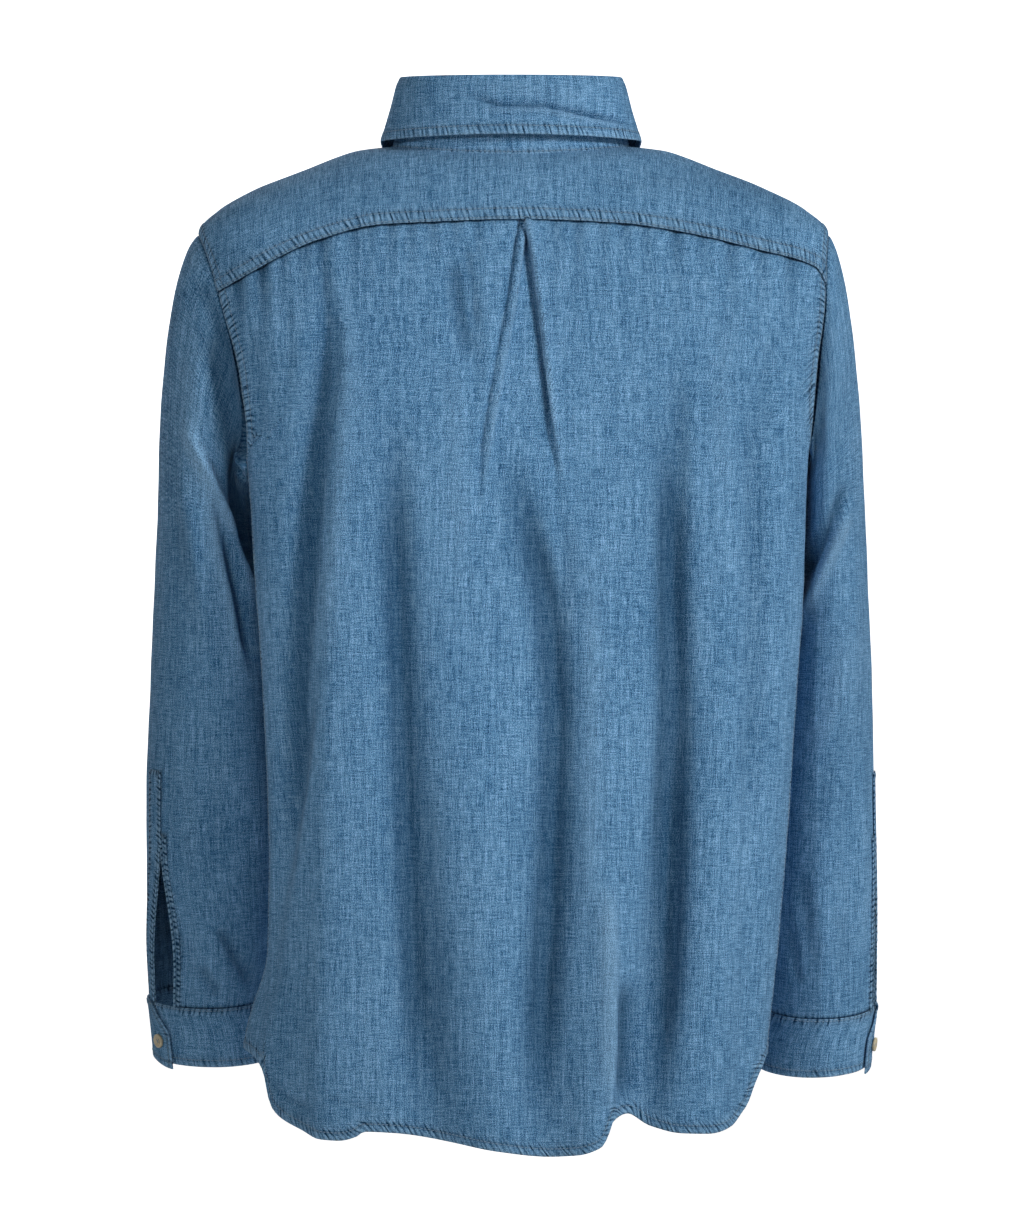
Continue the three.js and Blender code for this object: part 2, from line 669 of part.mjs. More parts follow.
function movedOut(sheet, distance) {
  return {
    points: sheet.points.map((row, i) =>
      row.map((point, j) => point.clone().addScaledVector(sheet.normals[i][j], distance)),
    ),
    normals: sheet.normals,
  };
}

// The turn of the left front's edges: x is how far from the middle they lie
function turnBeside(level, x) {
  const ring = rowBetween(BODY_RINGS, BODY_LEVELS, level);
  return FRONT + x / (x < 0 ? ring.right : ring.left);
}

function frontPlacket() {
  const edge = frontPlaces('left').map((row) => row[0].level);
  const end = edge[edge.length - 1];
  const places = steps(PLACKET_STEPS, (down) => {
    const level = mix(PLACKET_TOP_LEVEL, end, down);
    return [-1, 0, 1].map((share) => ({
      turn: turnBeside(level, (share * PLACKET_WIDTH) / 2),
      level,
    }));
  });
  const sheet = movedOut(pointsOf(places, bodySurface), LAYER_GAP + PLACKET_WALL);
  return cloth('placket_left', wallOf(insetEdges(sheet, ['top', 'bottom', 'left', 'right']), PLACKET_WALL));
}

function button(name, seat, normal) {
  const geometry = new THREE.CylinderGeometry(BUTTON_RADIUS, BUTTON_RADIUS, BUTTON_THICKNESS, 12);
  const mesh = new THREE.Mesh(geometry, new THREE.MeshStandardMaterial(BUTTON_CREAM));
  mesh.name = name;
  mesh.quaternion.setFromUnitVectors(new THREE.Vector3(0, 1, 0), normal);
  mesh.position.copy(seat).addScaledVector(normal, SEAM_GAP + BUTTON_THICKNESS / 2);
  return mesh;
}

function frontButtons() {
  return FRONT_BUTTON_HEIGHTS.map((height, i) => {
    const level = levelAt(FRONT, () => height, 0, BODY_RINGS.length - 1);
    const normal = normalOf(bodySurface, FRONT, level);
    const seat = bodySurface(FRONT, level).addScaledVector(normal, LAYER_GAP + PLACKET_WALL);
    return button(`button_${i + 1}`, seat, normal);
  });
}

// Stand: a band from the neck seam up, from its right end under the left one, round the back
function standTurn(share) {
  return FRONT + STAND_OVERLAP_TURN - share * 2 * (Math.PI + STAND_OVERLAP_TURN);
}

function standSheet() {
  const foot = { ...BODY_RINGS[0] };
  const middle = { ...STAND_TOP };
  for (const name of Object.keys(foot)) middle[name] = mix(foot[name], STAND_TOP[name], 0.55);
  const points = [STAND_TOP, middle, foot].map((ring, i) =>
    steps(COLLAR_STEPS, (share) => {
      const turn = standTurn(share);
      const over = (STIFF_WALL + 2 * LAYER_GAP) * ease(0.82, 0.95, share);
      const point = ringPoint(ring, turn);
      point.x += over * Math.cos(turn);
      point.y += over * Math.sin(turn);
      point.z += i === 2 ? 2 * SEAM_GAP : 0;
      return point;
    }).reverse(),
  );
  return { points, normals: gridNormals(points) };
}

function stand() {
  return cloth('collar_stand', wallOf(standSheet(), STIFF_WALL));
}

function standButton() {
  const { points, normals } = standSheet();
  const nearest = (best, j) => (Math.abs(points[1][j].x) < Math.abs(points[1][best].x) ? j : best);
  const column = [1, 2, 3, 4].reduce(nearest, 0);
  return button('button_0', points[1][column], normals[1][column]);
}

// Fall: up inside from the stand's top, over the fold and down outside to the points in front
function fall() {
  const inside = { ...STAND_TOP, left: STAND_TOP.left - STIFF_WALL, right: STAND_TOP.right - STIFF_WALL };
  inside.rear -= STIFF_WALL;
  inside.fore -= STIFF_WALL;
  const rings = [inside, FOLD_INSIDE, FOLD_LINE, FOLD_OUTSIDE, FALL_MIDDLE, FALL_EDGE];
  const spread = [0, 0, 0, 0.04, 0.45, 1];
  const points = rings.map((ring, i) =>
    steps(COLLAR_STEPS, (share) => {
      const end = FALL_END_TURN + FALL_POINT_TURN * spread[i];
      const turn = FRONT - end - share * 2 * (Math.PI - end);
      const point = ringPoint(ring, turn);
      const fromEnd = Math.min(share, 1 - share);
      point.z += i === 0 ? 3.3 * SEAM_GAP : 0;
      point.z -= FALL_POINT_DROP * spread[i] * (1 - ease(0, 0.22, fromEnd));
      return point;
    }).reverse(),
  );
  return cloth('collar_fall', wallOf({ points, normals: gridNormals(points) }, STIFF_WALL));
}

// Sleeves. Every column starts from a point of the armhole and keeps its angle down the arm;
// angle 0 is outermost, a quarter turn is behind.
function armholeColumns(side) {
  const seams = ARMHOLE_SEAMS[side];
  const half = (ARMHOLE_FOOT - ARMHOLE_TOP) / 2;
  const frontCorner = Math.PI - Math.asin((ARMHOLE_TOP + half - SHOULDER_SEAM_LEVEL) / half);
  const backCorner = Math.asin(clamp((ARMHOLE_TOP + half - seams.back[0].level) / half, -1, 1));
  const run = (places, start, end) =>
    places.slice(0, -1).map((place, i) => ({
      place,
      angle: Math.PI / 2 - mix(start, end, i / (places.length - 1)),
    }));
  return [
    ...run(seams.yoke, frontCorner, backCorner),
    ...run(seams.back, backCorner, -Math.PI / 2),
    ...run(seams.front, -Math.PI / 2, frontCorner - 2 * Math.PI),
  ];
}

const SLEEVE_KEYS = (side) => SLEEVE_RINGS[side].map((ring) => -ring.z);

// A sleeve's point at a height and an angle, with its creases
function armPoint(side, height, angle, creased = true) {
  const ring = rowBetween(SLEEVE_RINGS[side], SLEEVE_KEYS(side), -height);
  const outward = side === 'left' ? 1 : -1;
  let depth = 0;
  for (const crease of creased ? SLEEVE_CREASES[side] : []) {
    const share = clamp((height - crease.from) / (crease.to - crease.from), 0, 1);
    const line = mix(crease.turnTop, crease.turnFoot, share);
    const away = Math.atan2(Math.sin(angle - line), Math.cos(angle - line)) / crease.width;
    depth += crease.depth * Math.sin(Math.PI * share) * Math.exp(-away * away);
  }
  const c = Math.cos(angle);
  const s = Math.sin(angle);
  return new THREE.Vector3(
    ring.x + outward * (ring.across - depth) * c,
    ring.y + (ring.deep - depth) * s,
    height - ring.lean * ring.deep * s,
  );
}

// Cap: one cubic curve from each armhole point to the sleeve's first ring
function capPoint(side, column, share) {
  const start = bodySurface(column.place.turn, column.place.level);
  const top = SLEEVE_RINGS[side][0].z;
  const end = armPoint(side, top, column.angle);
  const under = (1 - Math.cos(column.angle)) / 2; // 0 over the shoulder, 1 under the arm
  const outward = side === 'left' ? 1 : -1;
  const leave = new THREE.Vector3(mix(CAP_OUTWARD[side], 0.42, under) * outward, 0.2 * Math.sin(column.angle), -0.62);
  const first = start.clone().addScaledVector(leave, mix(CAP_LEAVE.over, CAP_LEAVE.under, under));
  const second = end.clone();
  second.z += mix(CAP_ARRIVE.over, CAP_ARRIVE.under, under);
  second.x -= outward * mix(CAP_DRAWN_IN[side], 0, under);
  return new THREE.CubicBezierCurve3(start, first, second, end).getPoint(share);
}

function sleeveSheet(side) {
  const columns = armholeColumns(side);
  const slit = SLIT_COLUMN[side];
  const turned = [...columns.slice(slit), ...columns.slice(0, slit + 1)];
  const first = turned[0].angle;
  const angles = turned.map((column, j) =>
    j <= columns.length - 1 - slit ? column.angle : column.angle + 2 * Math.PI);
  const rings = SLEEVE_RINGS[side];
  const top = rings[0].z;
  const foot = rings[rings.length - 1].z;
  const rows = steps(CAP_STEPS, (share) => turned.map((column) => capPoint(side, column, share)));
  const divided = ARM_STEPS - SLIT_ROWS;
  for (let i = 1; i <= ARM_STEPS; i += 1) {
    const height = mix(top, foot, i / ARM_STEPS);
    const open = SLIT_SPREAD[side] * ease(divided, ARM_STEPS - 1, i);
    rows.push(angles.map((angle) => {
      const opened = first + open + (angle - first) * (1 - open / Math.PI);
      return armPoint(side, height, opened);
    }));
  }
  const joined = (i) => i <= CAP_STEPS + divided;
  const points = side === 'left' ? rows : reversedRows(rows);
  const normals = gridNormals(points, joined);
  const seamNormals = turned.map(({ place }) => normalOf(bodySurface, place.turn, place.level));
  if (side === 'right') seamNormals.reverse();
  normals[0] = normals[0].map((own, j) => {
    const share = ease(0, 0.6, own.dot(seamNormals[j]));
    return own.clone().lerp(seamNormals[j], share).normalize();
  });
  return { points, normals, joined };
}

function sleeve(side) {
  const sheet = sleeveSheet(side);
  insetEdges(sheet, ['top', 'bottom']);
  return cloth(`sleeve_${side}`, wallOf(sheet, WALL, sheet.joined));
}

// Strips on the two edges of a sleeve's slit, from the sleeve's own points
function slitStrip(side, name, columns, above) {
  const sheet = sleeveSheet(side);
  const start = sheet.points.length - 1 - SLIT_ROWS - above;
  const taken = (rows) => rows.slice(start).map((row) => columns(row));
  const strip = { points: taken(sheet.points), normals: taken(sheet.normals) };
  const raised = movedOut(strip, LAYER_GAP + PLACKET_WALL);
  insetEdges(raised, ['top', 'bottom', 'left', 'right'], SEAM_GAP);
  return cloth(`${name}_${side}`, wallOf(raised, PLACKET_WALL));
}

function slitStrips(side) {
  const start = (count) => (row) => row.slice(0, count + 1);
  const end = (count) => (row) => row.slice(row.length - 1 - count);
  const before = side === 'left' ? end(2) : start(2);
  const behind = side === 'left' ? start(1) : end(1);
  return [
    slitStrip(side, 'sleeve_placket', before, 2),
    slitStrip(side, 'sleeve_binding', behind, 0),
  ];
}

// Cuff: a band from its under end behind the slit, round the wrist, to its over end
function cuffSheet(side) {
  const rings = SLEEVE_RINGS[side];
  const foot = rings[rings.length - 1];
  const start = CUFF_START[side];
  const rows = steps(4, (down) =>
    steps(CUFF_STEPS, (share) => {
      const overlap = CUFF_OVERLAP_TURN - CUFF_CORNER_TURN * ease(0.5, 0, down);
      const angle = start + share * (2 * Math.PI + overlap);
      const over = (STIFF_WALL + 2 * LAYER_GAP) * ease(0.76, 0.9, share);
      const point = armPoint(side, foot.z, angle, false);
      const outward = side === 'left' ? 1 : -1;
      point.x += outward * (over * Math.cos(angle) - CUFF_INWARD[side] * down);
      point.y += over * Math.sin(angle) - CUFF_HEIGHT * foot.lean * down;
      point.z -= SEAM_GAP + LAYER_GAP + CUFF_HEIGHT * down + CUFF_END_DROP * ease(0.9, 1, share) * down;
      return point;
    }),
  );
  const points = side === 'left' ? rows : reversedRows(rows);
  return { points, normals: gridNormals(points) };
}

function cuff(side) {
  return cloth(`cuff_${side}`, wallOf(cuffSheet(side), STIFF_WALL));
}

function cuffButton(side) {
  const { points, normals } = cuffSheet(side);
  const last = points[0].length - 1;
  const column = side === 'left' ? last - 1 : 1;
  const seat = points[2][column].clone().lerp(points[3][column], 0.4);
  return button(`cuff_button_${side}`, seat, normals[2][column]);
}

const group = new THREE.Group();
group.add(yoke(), back(), front('left'), front('right'), frontPlacket(), stand(), fall());
for (const side of ['left', 'right']) {
  group.add(sleeve(side), ...slitStrips(side), cuff(side), cuffButton(side));
}
group.add(standButton(), ...frontButtons());

export default group;
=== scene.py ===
"""A denim shirt, filled out with no wearer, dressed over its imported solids: cloth panels with folds,
lapped and double-stitched seams, a collar, slit sleeves with cuffs, stitches and buttons. The tables
are millimetres, +Z up, the wearer's left toward +X and the front toward -Y; meshes are metres."""

import bpy
import numpy as np
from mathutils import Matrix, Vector


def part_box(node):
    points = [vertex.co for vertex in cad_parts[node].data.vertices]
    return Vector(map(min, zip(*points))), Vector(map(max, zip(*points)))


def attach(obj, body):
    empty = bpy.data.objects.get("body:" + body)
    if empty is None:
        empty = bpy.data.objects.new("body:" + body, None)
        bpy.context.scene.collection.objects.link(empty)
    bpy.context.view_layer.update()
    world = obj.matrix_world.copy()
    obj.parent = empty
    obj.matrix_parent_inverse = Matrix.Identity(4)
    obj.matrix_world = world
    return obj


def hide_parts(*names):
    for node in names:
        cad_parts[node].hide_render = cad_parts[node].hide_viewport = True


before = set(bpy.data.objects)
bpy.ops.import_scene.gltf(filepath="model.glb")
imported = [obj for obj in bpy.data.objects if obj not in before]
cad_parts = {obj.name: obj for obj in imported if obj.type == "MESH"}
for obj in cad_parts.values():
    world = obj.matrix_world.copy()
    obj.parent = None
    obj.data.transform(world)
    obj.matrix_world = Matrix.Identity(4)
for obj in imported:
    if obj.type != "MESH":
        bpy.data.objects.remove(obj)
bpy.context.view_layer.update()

MM = 0.001
FRONT = -np.pi / 2
SEAM_GAP = 0.3
LAYER_GAP = 0.4
PLACKET_WALL = 1.2
STIFF_WALL = 1.8
CLOTH = 1.0
STIFF_CLOTH = 1.5
STRIP_CLOTH = 0.9
SIDES = ("left", "right")

# Distances of the stitch rows from the edges that they hold
YOKE_ROWS = (1.6, 8.8)
ARMHOLE_ROWS = (1.4, 7.8)
SHOULDER_ROWS = (1.4, 6.2)
SEAM_ROWS = (1.2, 5.2)
BAND_ROW = 5
STAND_ROW = 2.2
LEAF_ROW = 7.0
CUFF_TOP_ROW = 1.6
CUFF_FOOT_ROW = 5.6
CUFF_END_ROW = 3
SLIT_ROW = 4
STRIP_ROW = 2
HEM_WIDTH = 7
HEM_ROW = HEM_WIDTH - 0.9

# Puckers that the stitches draw up, and the painted shade and painted highlight of creased and gathered
# cloth
PUCKER_SPACING = 3.4
PUCKERS_APART = 100  # how far apart on the seam map two edges' puckers lie
CREASE_SHADE = 0.115  # a millimetre's depth darkens the cloth by this share
CREASE_HIGHLIGHT = 0.19  # and a millimetre's height pales it by this one
GATHER_RELIEF = 2.3
GATHER_SHADE = 0.6

# The rings of the body from the neck seam to the tails: heights at the side, back and front,
# half widths left and right, y of the widest line, depths behind and before it, squareness
BODY_RINGS = np.array([
    (3, -2, -62, 90, 90, 0, 54, 62, 2),
    (0, -14, -84, 118, 118, 0, 72, 80, 2),
    (-15, -32, -106, 160, 160, 2, 86, 94, 2),
    (-31, -54, -130, 200, 200, 4, 96, 108, 2.1),
    (-47, -80, -158, 228, 230, 7, 101, 122, 2.2),
    (-66, -112, -190, 243, 247, 10, 102, 134, 2.3),
    (-110, -160, -225, 240, 249, 16, 99, 144, 2.3),
    (-170, -215, -262, 224, 240, 24, 92, 155, 2.3),
    (-245, -268, -292, 205, 231, 32, 84, 165, 2.3),
    (-330, -338, -345, 199, 228, 35, 81, 170, 2.3),
    (-435, -435, -435, 192, 221, 36, 83, 169, 2.3),
    (-540, -540, -540, 188, 214, 35, 89, 165, 2.3),
    (-622, -622, -622, 189, 207, 33, 95, 160, 2.3),
    (-700, -700, -700, 207, 199, 29, 101, 155, 2.3),
    (-800, -800, -800, 196, 194, 28, 104, 153, 2.3),
])
BODY_LEVELS = np.arange(len(BODY_RINGS))
LAST_LEVEL = len(BODY_RINGS) - 1

ARMHOLE_TOP = 5
ARMHOLE_FOOT = 8
ARMHOLES = {
    "left": {"back": 0.44, "fore": 0.5, "lean": 0},
    "right": {"back": 0.34, "fore": 0.52, "lean": 0.2},
}
SHOULDER_SEAM_TURN = 0.32
SHOULDER_SEAM_LEVEL = 5.12
FOOT_SHARE = {"back": 0.49, "front": 0.76}  # how far down a panel the armhole's foot lies
PLEAT_CROWDING = 0.5
SHOULDER_SHARE = 8 / 34  # of the yoke's front edge that each shoulder seam takes
NECK_SHARE = 6 / 14  # of a front's top edge that the neck takes

# The back yoke seam and the tails, as (x, height)
YOKE_SEAM = np.array([
    (-248, -114), (-237, -92), (-191, -79), (-140, -67), (-85, -59), (-8, -56),
    (71, -58.5), (101, -60), (150, -72), (206, -99), (230, -113),
])
BACK_TAIL = np.array([
    (-200, -701), (-191, -725), (-184, -745), (-171, -758.5), (-150, -764), (-132, -763.5),
    (-110, -757.5), (-93, -748), (-80, -753), (-75, -765), (-69, -774), (-51, -780),
    (-30, -781), (10, -777), (50, -769), (90, -763), (113, -762), (119, -766),
    (131, -769), (145, -768), (159, -762), (177, -753), (187, -741), (189.5, -727),
    (194, -714), (208, -699),
])
FRONT_TAIL = np.array([
    (-200, -701), (-186, -722), (-160, -741), (-110, -754), (-50, -757), (50, -757),
    (110, -754), (160, -741), (190, -720), (208, -699),
])

# Soft folds: x of the trough at three heights, heights where it starts and is deepest, depth
# (negative stands out), widths toward +X and -X
FOLD_HEIGHTS = np.array([-140, -430, -780])
BACK_FOLDS = [
    (138, 163, 226, -110, -480, 9, 18, 12),
    (128, 138, 146, -150, -560, -6, 14, 26),
    (88, 79, 60, -190, -700, 8, 26, 20),
    (40, 32, 12, -200, -640, -6, 26, 26),
    (-20, -34, -30, -250, -600, 5, 20, 26),
    (-72, -74, -62, -200, -740, -7, 22, 18),
    (-136, -128, -94, -190, -740, 14, 18, 24),
    (-164, -160, -150, -200, -600, -5, 20, 20),
    (-188, -188, -180, -160, -420, 4, 12, 12),
]
FRONT_FOLDS = [
    (150, 158, 165, -180, -620, 9, 22, 16),
    (104, 106, 118, -200, -680, -7, 22, 22),
    (60, 66, 72, -230, -700, 9, 18, 22),
    (-66, -60, -70, -260, -720, 8, 22, 18),
    (-110, -104, -112, -220, -640, -7, 20, 24),
    (-150, -152, -158, -170, -660, 10, 18, 20),
]

# The lines of the centre pleat's two folded edges and of the grooves beside them, (x, height)
PLEAT_EDGES = {
    "left groove": [
        (-22, -10), (-8.6, -57), (-4.7, -71), (1.2, -118),
        (8.8, -158), (15.2, -195), (21.2, -230), (25, -300),
    ],
    "left ridge": [
        (-26, -10), (-11.4, -57), (-8.2, -71), (-2.5, -118),
        (5, -158), (11.3, -195), (17.3, -230), (21, -285),
    ],
    "right groove": [
        (3, -5), (-9.8, -57), (-15, -94), (-21.1, -137), (-25.8, -174), (-30.5, -214), (-37.5, -262),
    ],
    "right ridge": [
        (0, -5), (-13.4, -57), (-18, -94), (-24.3, -138), (-29, -174), (-33.7, -214), (-40.7, -268),
    ],
}
# Smaller creases, drawn as bent lines of (x, height) where they show: depth (negative stands
# out), width on the +X or upper side, width on the other
BACK_CREASES = [
    (PLEAT_EDGES["left groove"], 5.0, 3.0, 1.3),
    (PLEAT_EDGES["left ridge"], -3.6, 1.6, 2.2),
    (PLEAT_EDGES["right groove"], 6.0, 2.0, 0.9),
    (PLEAT_EDGES["right ridge"], -2.8, 1.4, 3.4),
    ([(37, -70), (30, -110), (27, -150)], 2.6, 5, 4),
    ([(138, -92), (134, -170), (146, -250), (156, -360), (163, -440)], 3.0, 10, 3.5),
    ([(131, -100), (127, -190), (139, -300), (149, -420)], -1.6, 4, 12),
    ([(150, -400), (165, -500), (180, -590), (190, -680)], 2.6, 12, 5),
    ([(94, -190), (86, -300), (80, -420), (74, -560)], 1.6, 9, 14),
    ([(70, -480), (66, -600), (61, -700), (60, -762)], 2.4, 8, 12),
    ([(28, -110), (27, -160), (24, -215)], 1.3, 5, 7),
    ([(46, -150), (40, -260), (38, -360)], -1.1, 8, 8),
    ([(-36, -275), (-43, -330), (-36, -400), (-30, -470)], 2.2, 6, 10),
    ([(-33, -470), (-34, -560), (-27, -640), (-27, -750)], 2.0, 9, 11),
    ([(-62, -300), (-64, -400), (-62, -520), (-58, -640)], -1.6, 9, 9),
    ([(-131, -150), (-133, -240), (-130, -330), (-127, -430)], 3.2, 13, 5),
    ([(-124, -440), (-121, -560), (-114, -640), (-106, -720)], 4.0, 8, 9),
    ([(-76, -560), (-78, -660), (-76, -758)], -4.5, 8, 5),
    ([(-90, -640), (-89, -700), (-86, -750)], 6.0, 6, 11),
    ([(-188, -180), (-190, -260), (-186, -350)], 1.4, 6, 6),
    ([(205, -130), (196, -180), (192, -240)], 1.8, 7, 5),
    ([(176, -110), (171, -150), (173, -200)], 1.2, 5, 4),
    ([(150, -735), (120, -742), (96, -747)], 1.4, 4, 3),
    ([(190, -722), (172, -738), (150, -744)], 2.8, 3, 2),
    ([(190, -596), (191, -628), (192.5, -652), (196, -676)], 4.4, 2.4, 3),
    ([(186, -600), (186.5, -630), (188, -655)], -2.2, 2, 3),
    ([(-205, -128), (-196, -180), (-199, -240)], 1.3, 6, 7),
    ([(-168, -120), (-162, -190), (-166, -280)], -1.1, 7, 9),
]
# Broad hollows between the back's soft crests, darkened with painted shade
BACK_BANDS = [
    (
        [(141, -120), (146, -200), (156, -300), (163, -400), (168, -500), (180, -570), (190, -620)],
        7.6, 13, 6,
    ),
    ([(92, -190), (92, -300), (86, -430), (80, -560), (74, -680), (68, -800)], 7.6, 13, 13),
    (
        [(10, -215), (-12, -290), (-28, -350), (-36, -430), (-32, -560), (-24, -690), (-20, -810)],
        8.4, 15, 11,
    ),
    ([(-118, -180), (-126, -300), (-128, -430), (-126, -540), (-122, -640), (-106, -800)], 9.4, 14, 10),
    ([(-186, -160), (-188, -300), (-188, -430), (-184, -560)], 2.2, 9, 9),
    ([(46, -80), (42, -120), (32, -175)], 4.6, 9, 7),
    ([(150, -84), (144, -130), (141, -210)], 3.0, 9, 6),
    ([(202, -250), (206, -330), (206, -420), (204, -520)], 2.4, 3, 6),
]
FRONT_CREASES = [
    ([(150, -150), (152, -240), (156, -340), (158, -450)], 2.4, 9, 5),
    ([(118, -200), (122, -330), (118, -470)], -1.4, 9, 9),
    ([(74, -240), (66, -380), (68, -520), (72, -640)], 2.2, 7, 10),
    ([(40, -180), (42, -300), (38, -420)], 1.2, 6, 6),
    ([(-42, -210), (-46, -330), (-40, -450)], 1.4, 6, 7),
    ([(-64, -300), (-60, -430), (-66, -600), (-70, -700)], 2.2, 10, 7),
    ([(-112, -190), (-106, -330), (-110, -500)], -1.5, 9, 9),
    ([(-148, -160), (-152, -280), (-150, -420), (-156, -600)], 2.8, 6, 9),
    ([(180, -260), (176, -360), (178, -470)], 1.6, 7, 5),
    ([(-184, -250), (-188, -380), (-186, -500)], 1.6, 5, 7),
    ([(140, -610), (146, -680), (150, -730)], 1.8, 6, 6),
    ([(-128, -620), (-132, -690), (-130, -738)], 1.8, 6, 6),
]
YOKE_CREASES = [
    ([(-60, -22), (-92, -27), (-122, -24)], 0.9, 5, 5),
    ([(-96, -10), (-112, -22), (-140, -28)], 0.8, 4, 6),
    ([(70, -14), (78, -34), (74, -50)], 0.5, 6, 6),
    ([(136, -30), (150, -48), (160, -66)], 0.6, 6, 6),
    ([(-160, -44), (-176, -58), (-184, -74)], 0.6, 6, 6),
]
COLLAR_CREASES = [
    ([(44, 43), (33, 41), (9, 34), (-27, 33.5), (-62, 26), (-104, 18)], 6.5, 1.5, 1.6),
    ([(34, 36), (9, 29.5), (-27, 29), (-62, 21.5), (-98, 14)], -2.4, 2.0, 3),
    ([(30, 47), (0, 46), (-34, 43), (-70, 37)], -0.9, 5, 5),
]
SLEEVE_BACK_CREASES = {
    "left": [
        ([(250, -70), (240, -100), (228, -130)], -2.2, 6, 6),
        ([(246, -90), (228, -134), (208, -184)], 5.5, 7, 7),
        ([(238, -130), (224, -186), (213, -236), (206, -290), (203, -350)], 13.0, 9, 14),
        ([(268, -150), (264, -300), (262, -450), (264, -600)], 1.6, 12, 8),
        ([(250, -150), (247, -220), (236, -290)], -1.4, 9, 9),
        ([(256, -205), (232, -257), (211, -304), (196, -362)], -7.0, 7, 3.4),
        ([(264, -270), (252, -330), (240, -400)], 1.6, 8, 8),
        ([(240, -256), (227, -314), (216, -362), (203, -424)], -3.6, 6, 4),
        ([(224, -290), (213, -345), (202, -410)], 6.0, 5, 6),
        ([(262, -430), (254, -500), (252, -580)], -1.1, 10, 10),
        ([(232, -430), (226, -500), (230, -570)], 1.2, 9, 9),
        ([(230, -606), (214, -634), (199, -658)], 4.4, 4, 6),
        ([(246, -636), (236, -650), (226, -664)], 3.4, 4, 4),
        ([(264, -606), (254, -628), (250, -650)], 1.2, 5, 5),
    ],
    "right": [
        ([(-244, -108), (-246, -150), (-240, -200)], 1.6, 7, 7),
        ([(-262, -160), (-258, -230), (-262, -300)], 1.3, 8, 8),
        ([(-266, -275), (-245, -328), (-222, -378)], -5.4, 5, 4),
        ([(-268, -255), (-240, -306), (-222, -345)], 5.6, 6, 5),
        ([(-232, -120), (-238, -190), (-234, -260)], 3.4, 6, 9),
        ([(-268, -360), (-256, -420), (-240, -480)], -1.4, 8, 8),
        ([(-262, -430), (-250, -490), (-236, -540)], 1.4, 8, 8),
        ([(-226, -560), (-232, -610), (-240, -650)], 1.6, 6, 6),
        ([(-258, -590), (-262, -625), (-256, -655)], 1.4, 6, 6),
        ([(-216, -600), (-222, -630), (-226, -658)], 1.6, 4, 4),
    ],
}
SLEEVE_FORE_CREASES = {
    "left": [
        ([(238, -130), (250, -180), (258, -240)], 2.2, 8, 8),
        ([(216, -200), (232, -250), (252, -310)], 2.8, 7, 7),
        ([(222, -300), (240, -340), (260, -370)], -1.8, 7, 7),
        ([(250, -400), (236, -470), (240, -540)], 1.8, 9, 9),
        ([(222, -560), (240, -600), (262, -630)], 2.0, 6, 6),
    ],
    "right": [
        ([(-236, -140), (-250, -200), (-256, -260)], 2.2, 8, 8),
        ([(-236, -250), (-250, -300), (-266, -350)], 2.4, 7, 7),
        ([(-236, -380), (-250, -430), (-262, -500)], -1.6, 8, 8),
        ([(-230, -540), (-248, -590), (-268, -630)], 2.0, 6, 6),
    ],
}

# Small gathers where the back hangs from the yoke: x, depth, width, how far down, drift in x
GATHERS = [
    (213, 1.3, 5, 34, -0.05), (194, 1.6, 5, 30, -0.04), (177, 0.9, 4, 22, 0.02), (160, 1.3, 5, 26, 0.0),
    (147, 1.4, 5, 48, -0.06), (121, 1.0, 5, 36, 0.03), (109, 0.8, 4, 26, 0.0), (93, 1.0, 5, 30, 0.04),
    (78, 0.8, 4, 34, 0.02), (61, 0.9, 5, 26, 0.0), (44, 0.8, 5, 22, 0.0), (26, 0.7, 4, 30, -0.02),
    (-34, 0.7, 5, 24, 0.0), (-52, 0.9, 5, 28, 0.03), (-71, 0.7, 4, 24, 0.0), (-88, 0.9, 5, 20, 0.0),
    (-104, 0.7, 5, 30, -0.03), (-128, 1.0, 5, 36, 0.0), (-149, 0.8, 5, 22, 0.02), (-171, 1.0, 5, 26, 0.0),
    (-196, 0.9, 5, 24, 0.04), (-219, 1.1, 6, 22, 0.06),
]

# Centre pleat: x of its folded edges at heights below the yoke seam, how deep it lies there and
# the half width over which each edge drops
PLEAT_HEIGHTS = np.array([-57, -71, -118, -158, -195, -230, -274, -310])
PLEAT_LEFT = np.array([-9.5, -7.8, -1.5, 5.5, 11.7, 16.5, 20.5, 24])
PLEAT_RIGHT = np.array([-10.5, -16, -22.5, -27.5, -31, -34.5, -39.5, -44])
PLEAT_DEPTH = np.array([2.5, 4.6, 4.8, 4.6, 4, 3, 1.2, 0])
PLEAT_EDGE = np.array([0.8, 1.0, 1.5, 2.0, 2.6, 3.4, 5, 7])

# Collar rings, with the same columns as the body's
STAND_TOP = np.array((40, 38, -27, 85, 85, 0, 49, 60, 2))
STAND_FOOT = np.array((1.2, -4.5, -64, 92.5, 92.5, 0, 57.5, 64.5, 2))
FALL_RINGS = np.array([
    (40, 38, -27, 83.2, 83.2, 0, 47.2, 58.2, 2),
    (54, 55, -15, 83, 83, 0, 48, 59.5, 2.1),
    (57, 57.5, -11, 86, 86, 0, 51, 64.5, 2.2),
    (52, 53, -17, 89, 89, 0, 54.5, 68, 2.2),
    (30, 33, -42, 95, 95, 0, 59, 77, 2.1),
    (7, 11, -66, 102, 102, 0, 63.5, 89, 2),
])
FALL_SPREAD = np.array([0, 0, 0, 0.04, 0.45, 1])
FALL_RAISE = np.array([3.3 * SEAM_GAP, 0, 0, 0, 0, 0])
STAND_OVERLAP_TURN = 0.24
FALL_END_TURN = 0.1
FALL_POINT_TURN = 0.42
FALL_POINT_DROP = 22

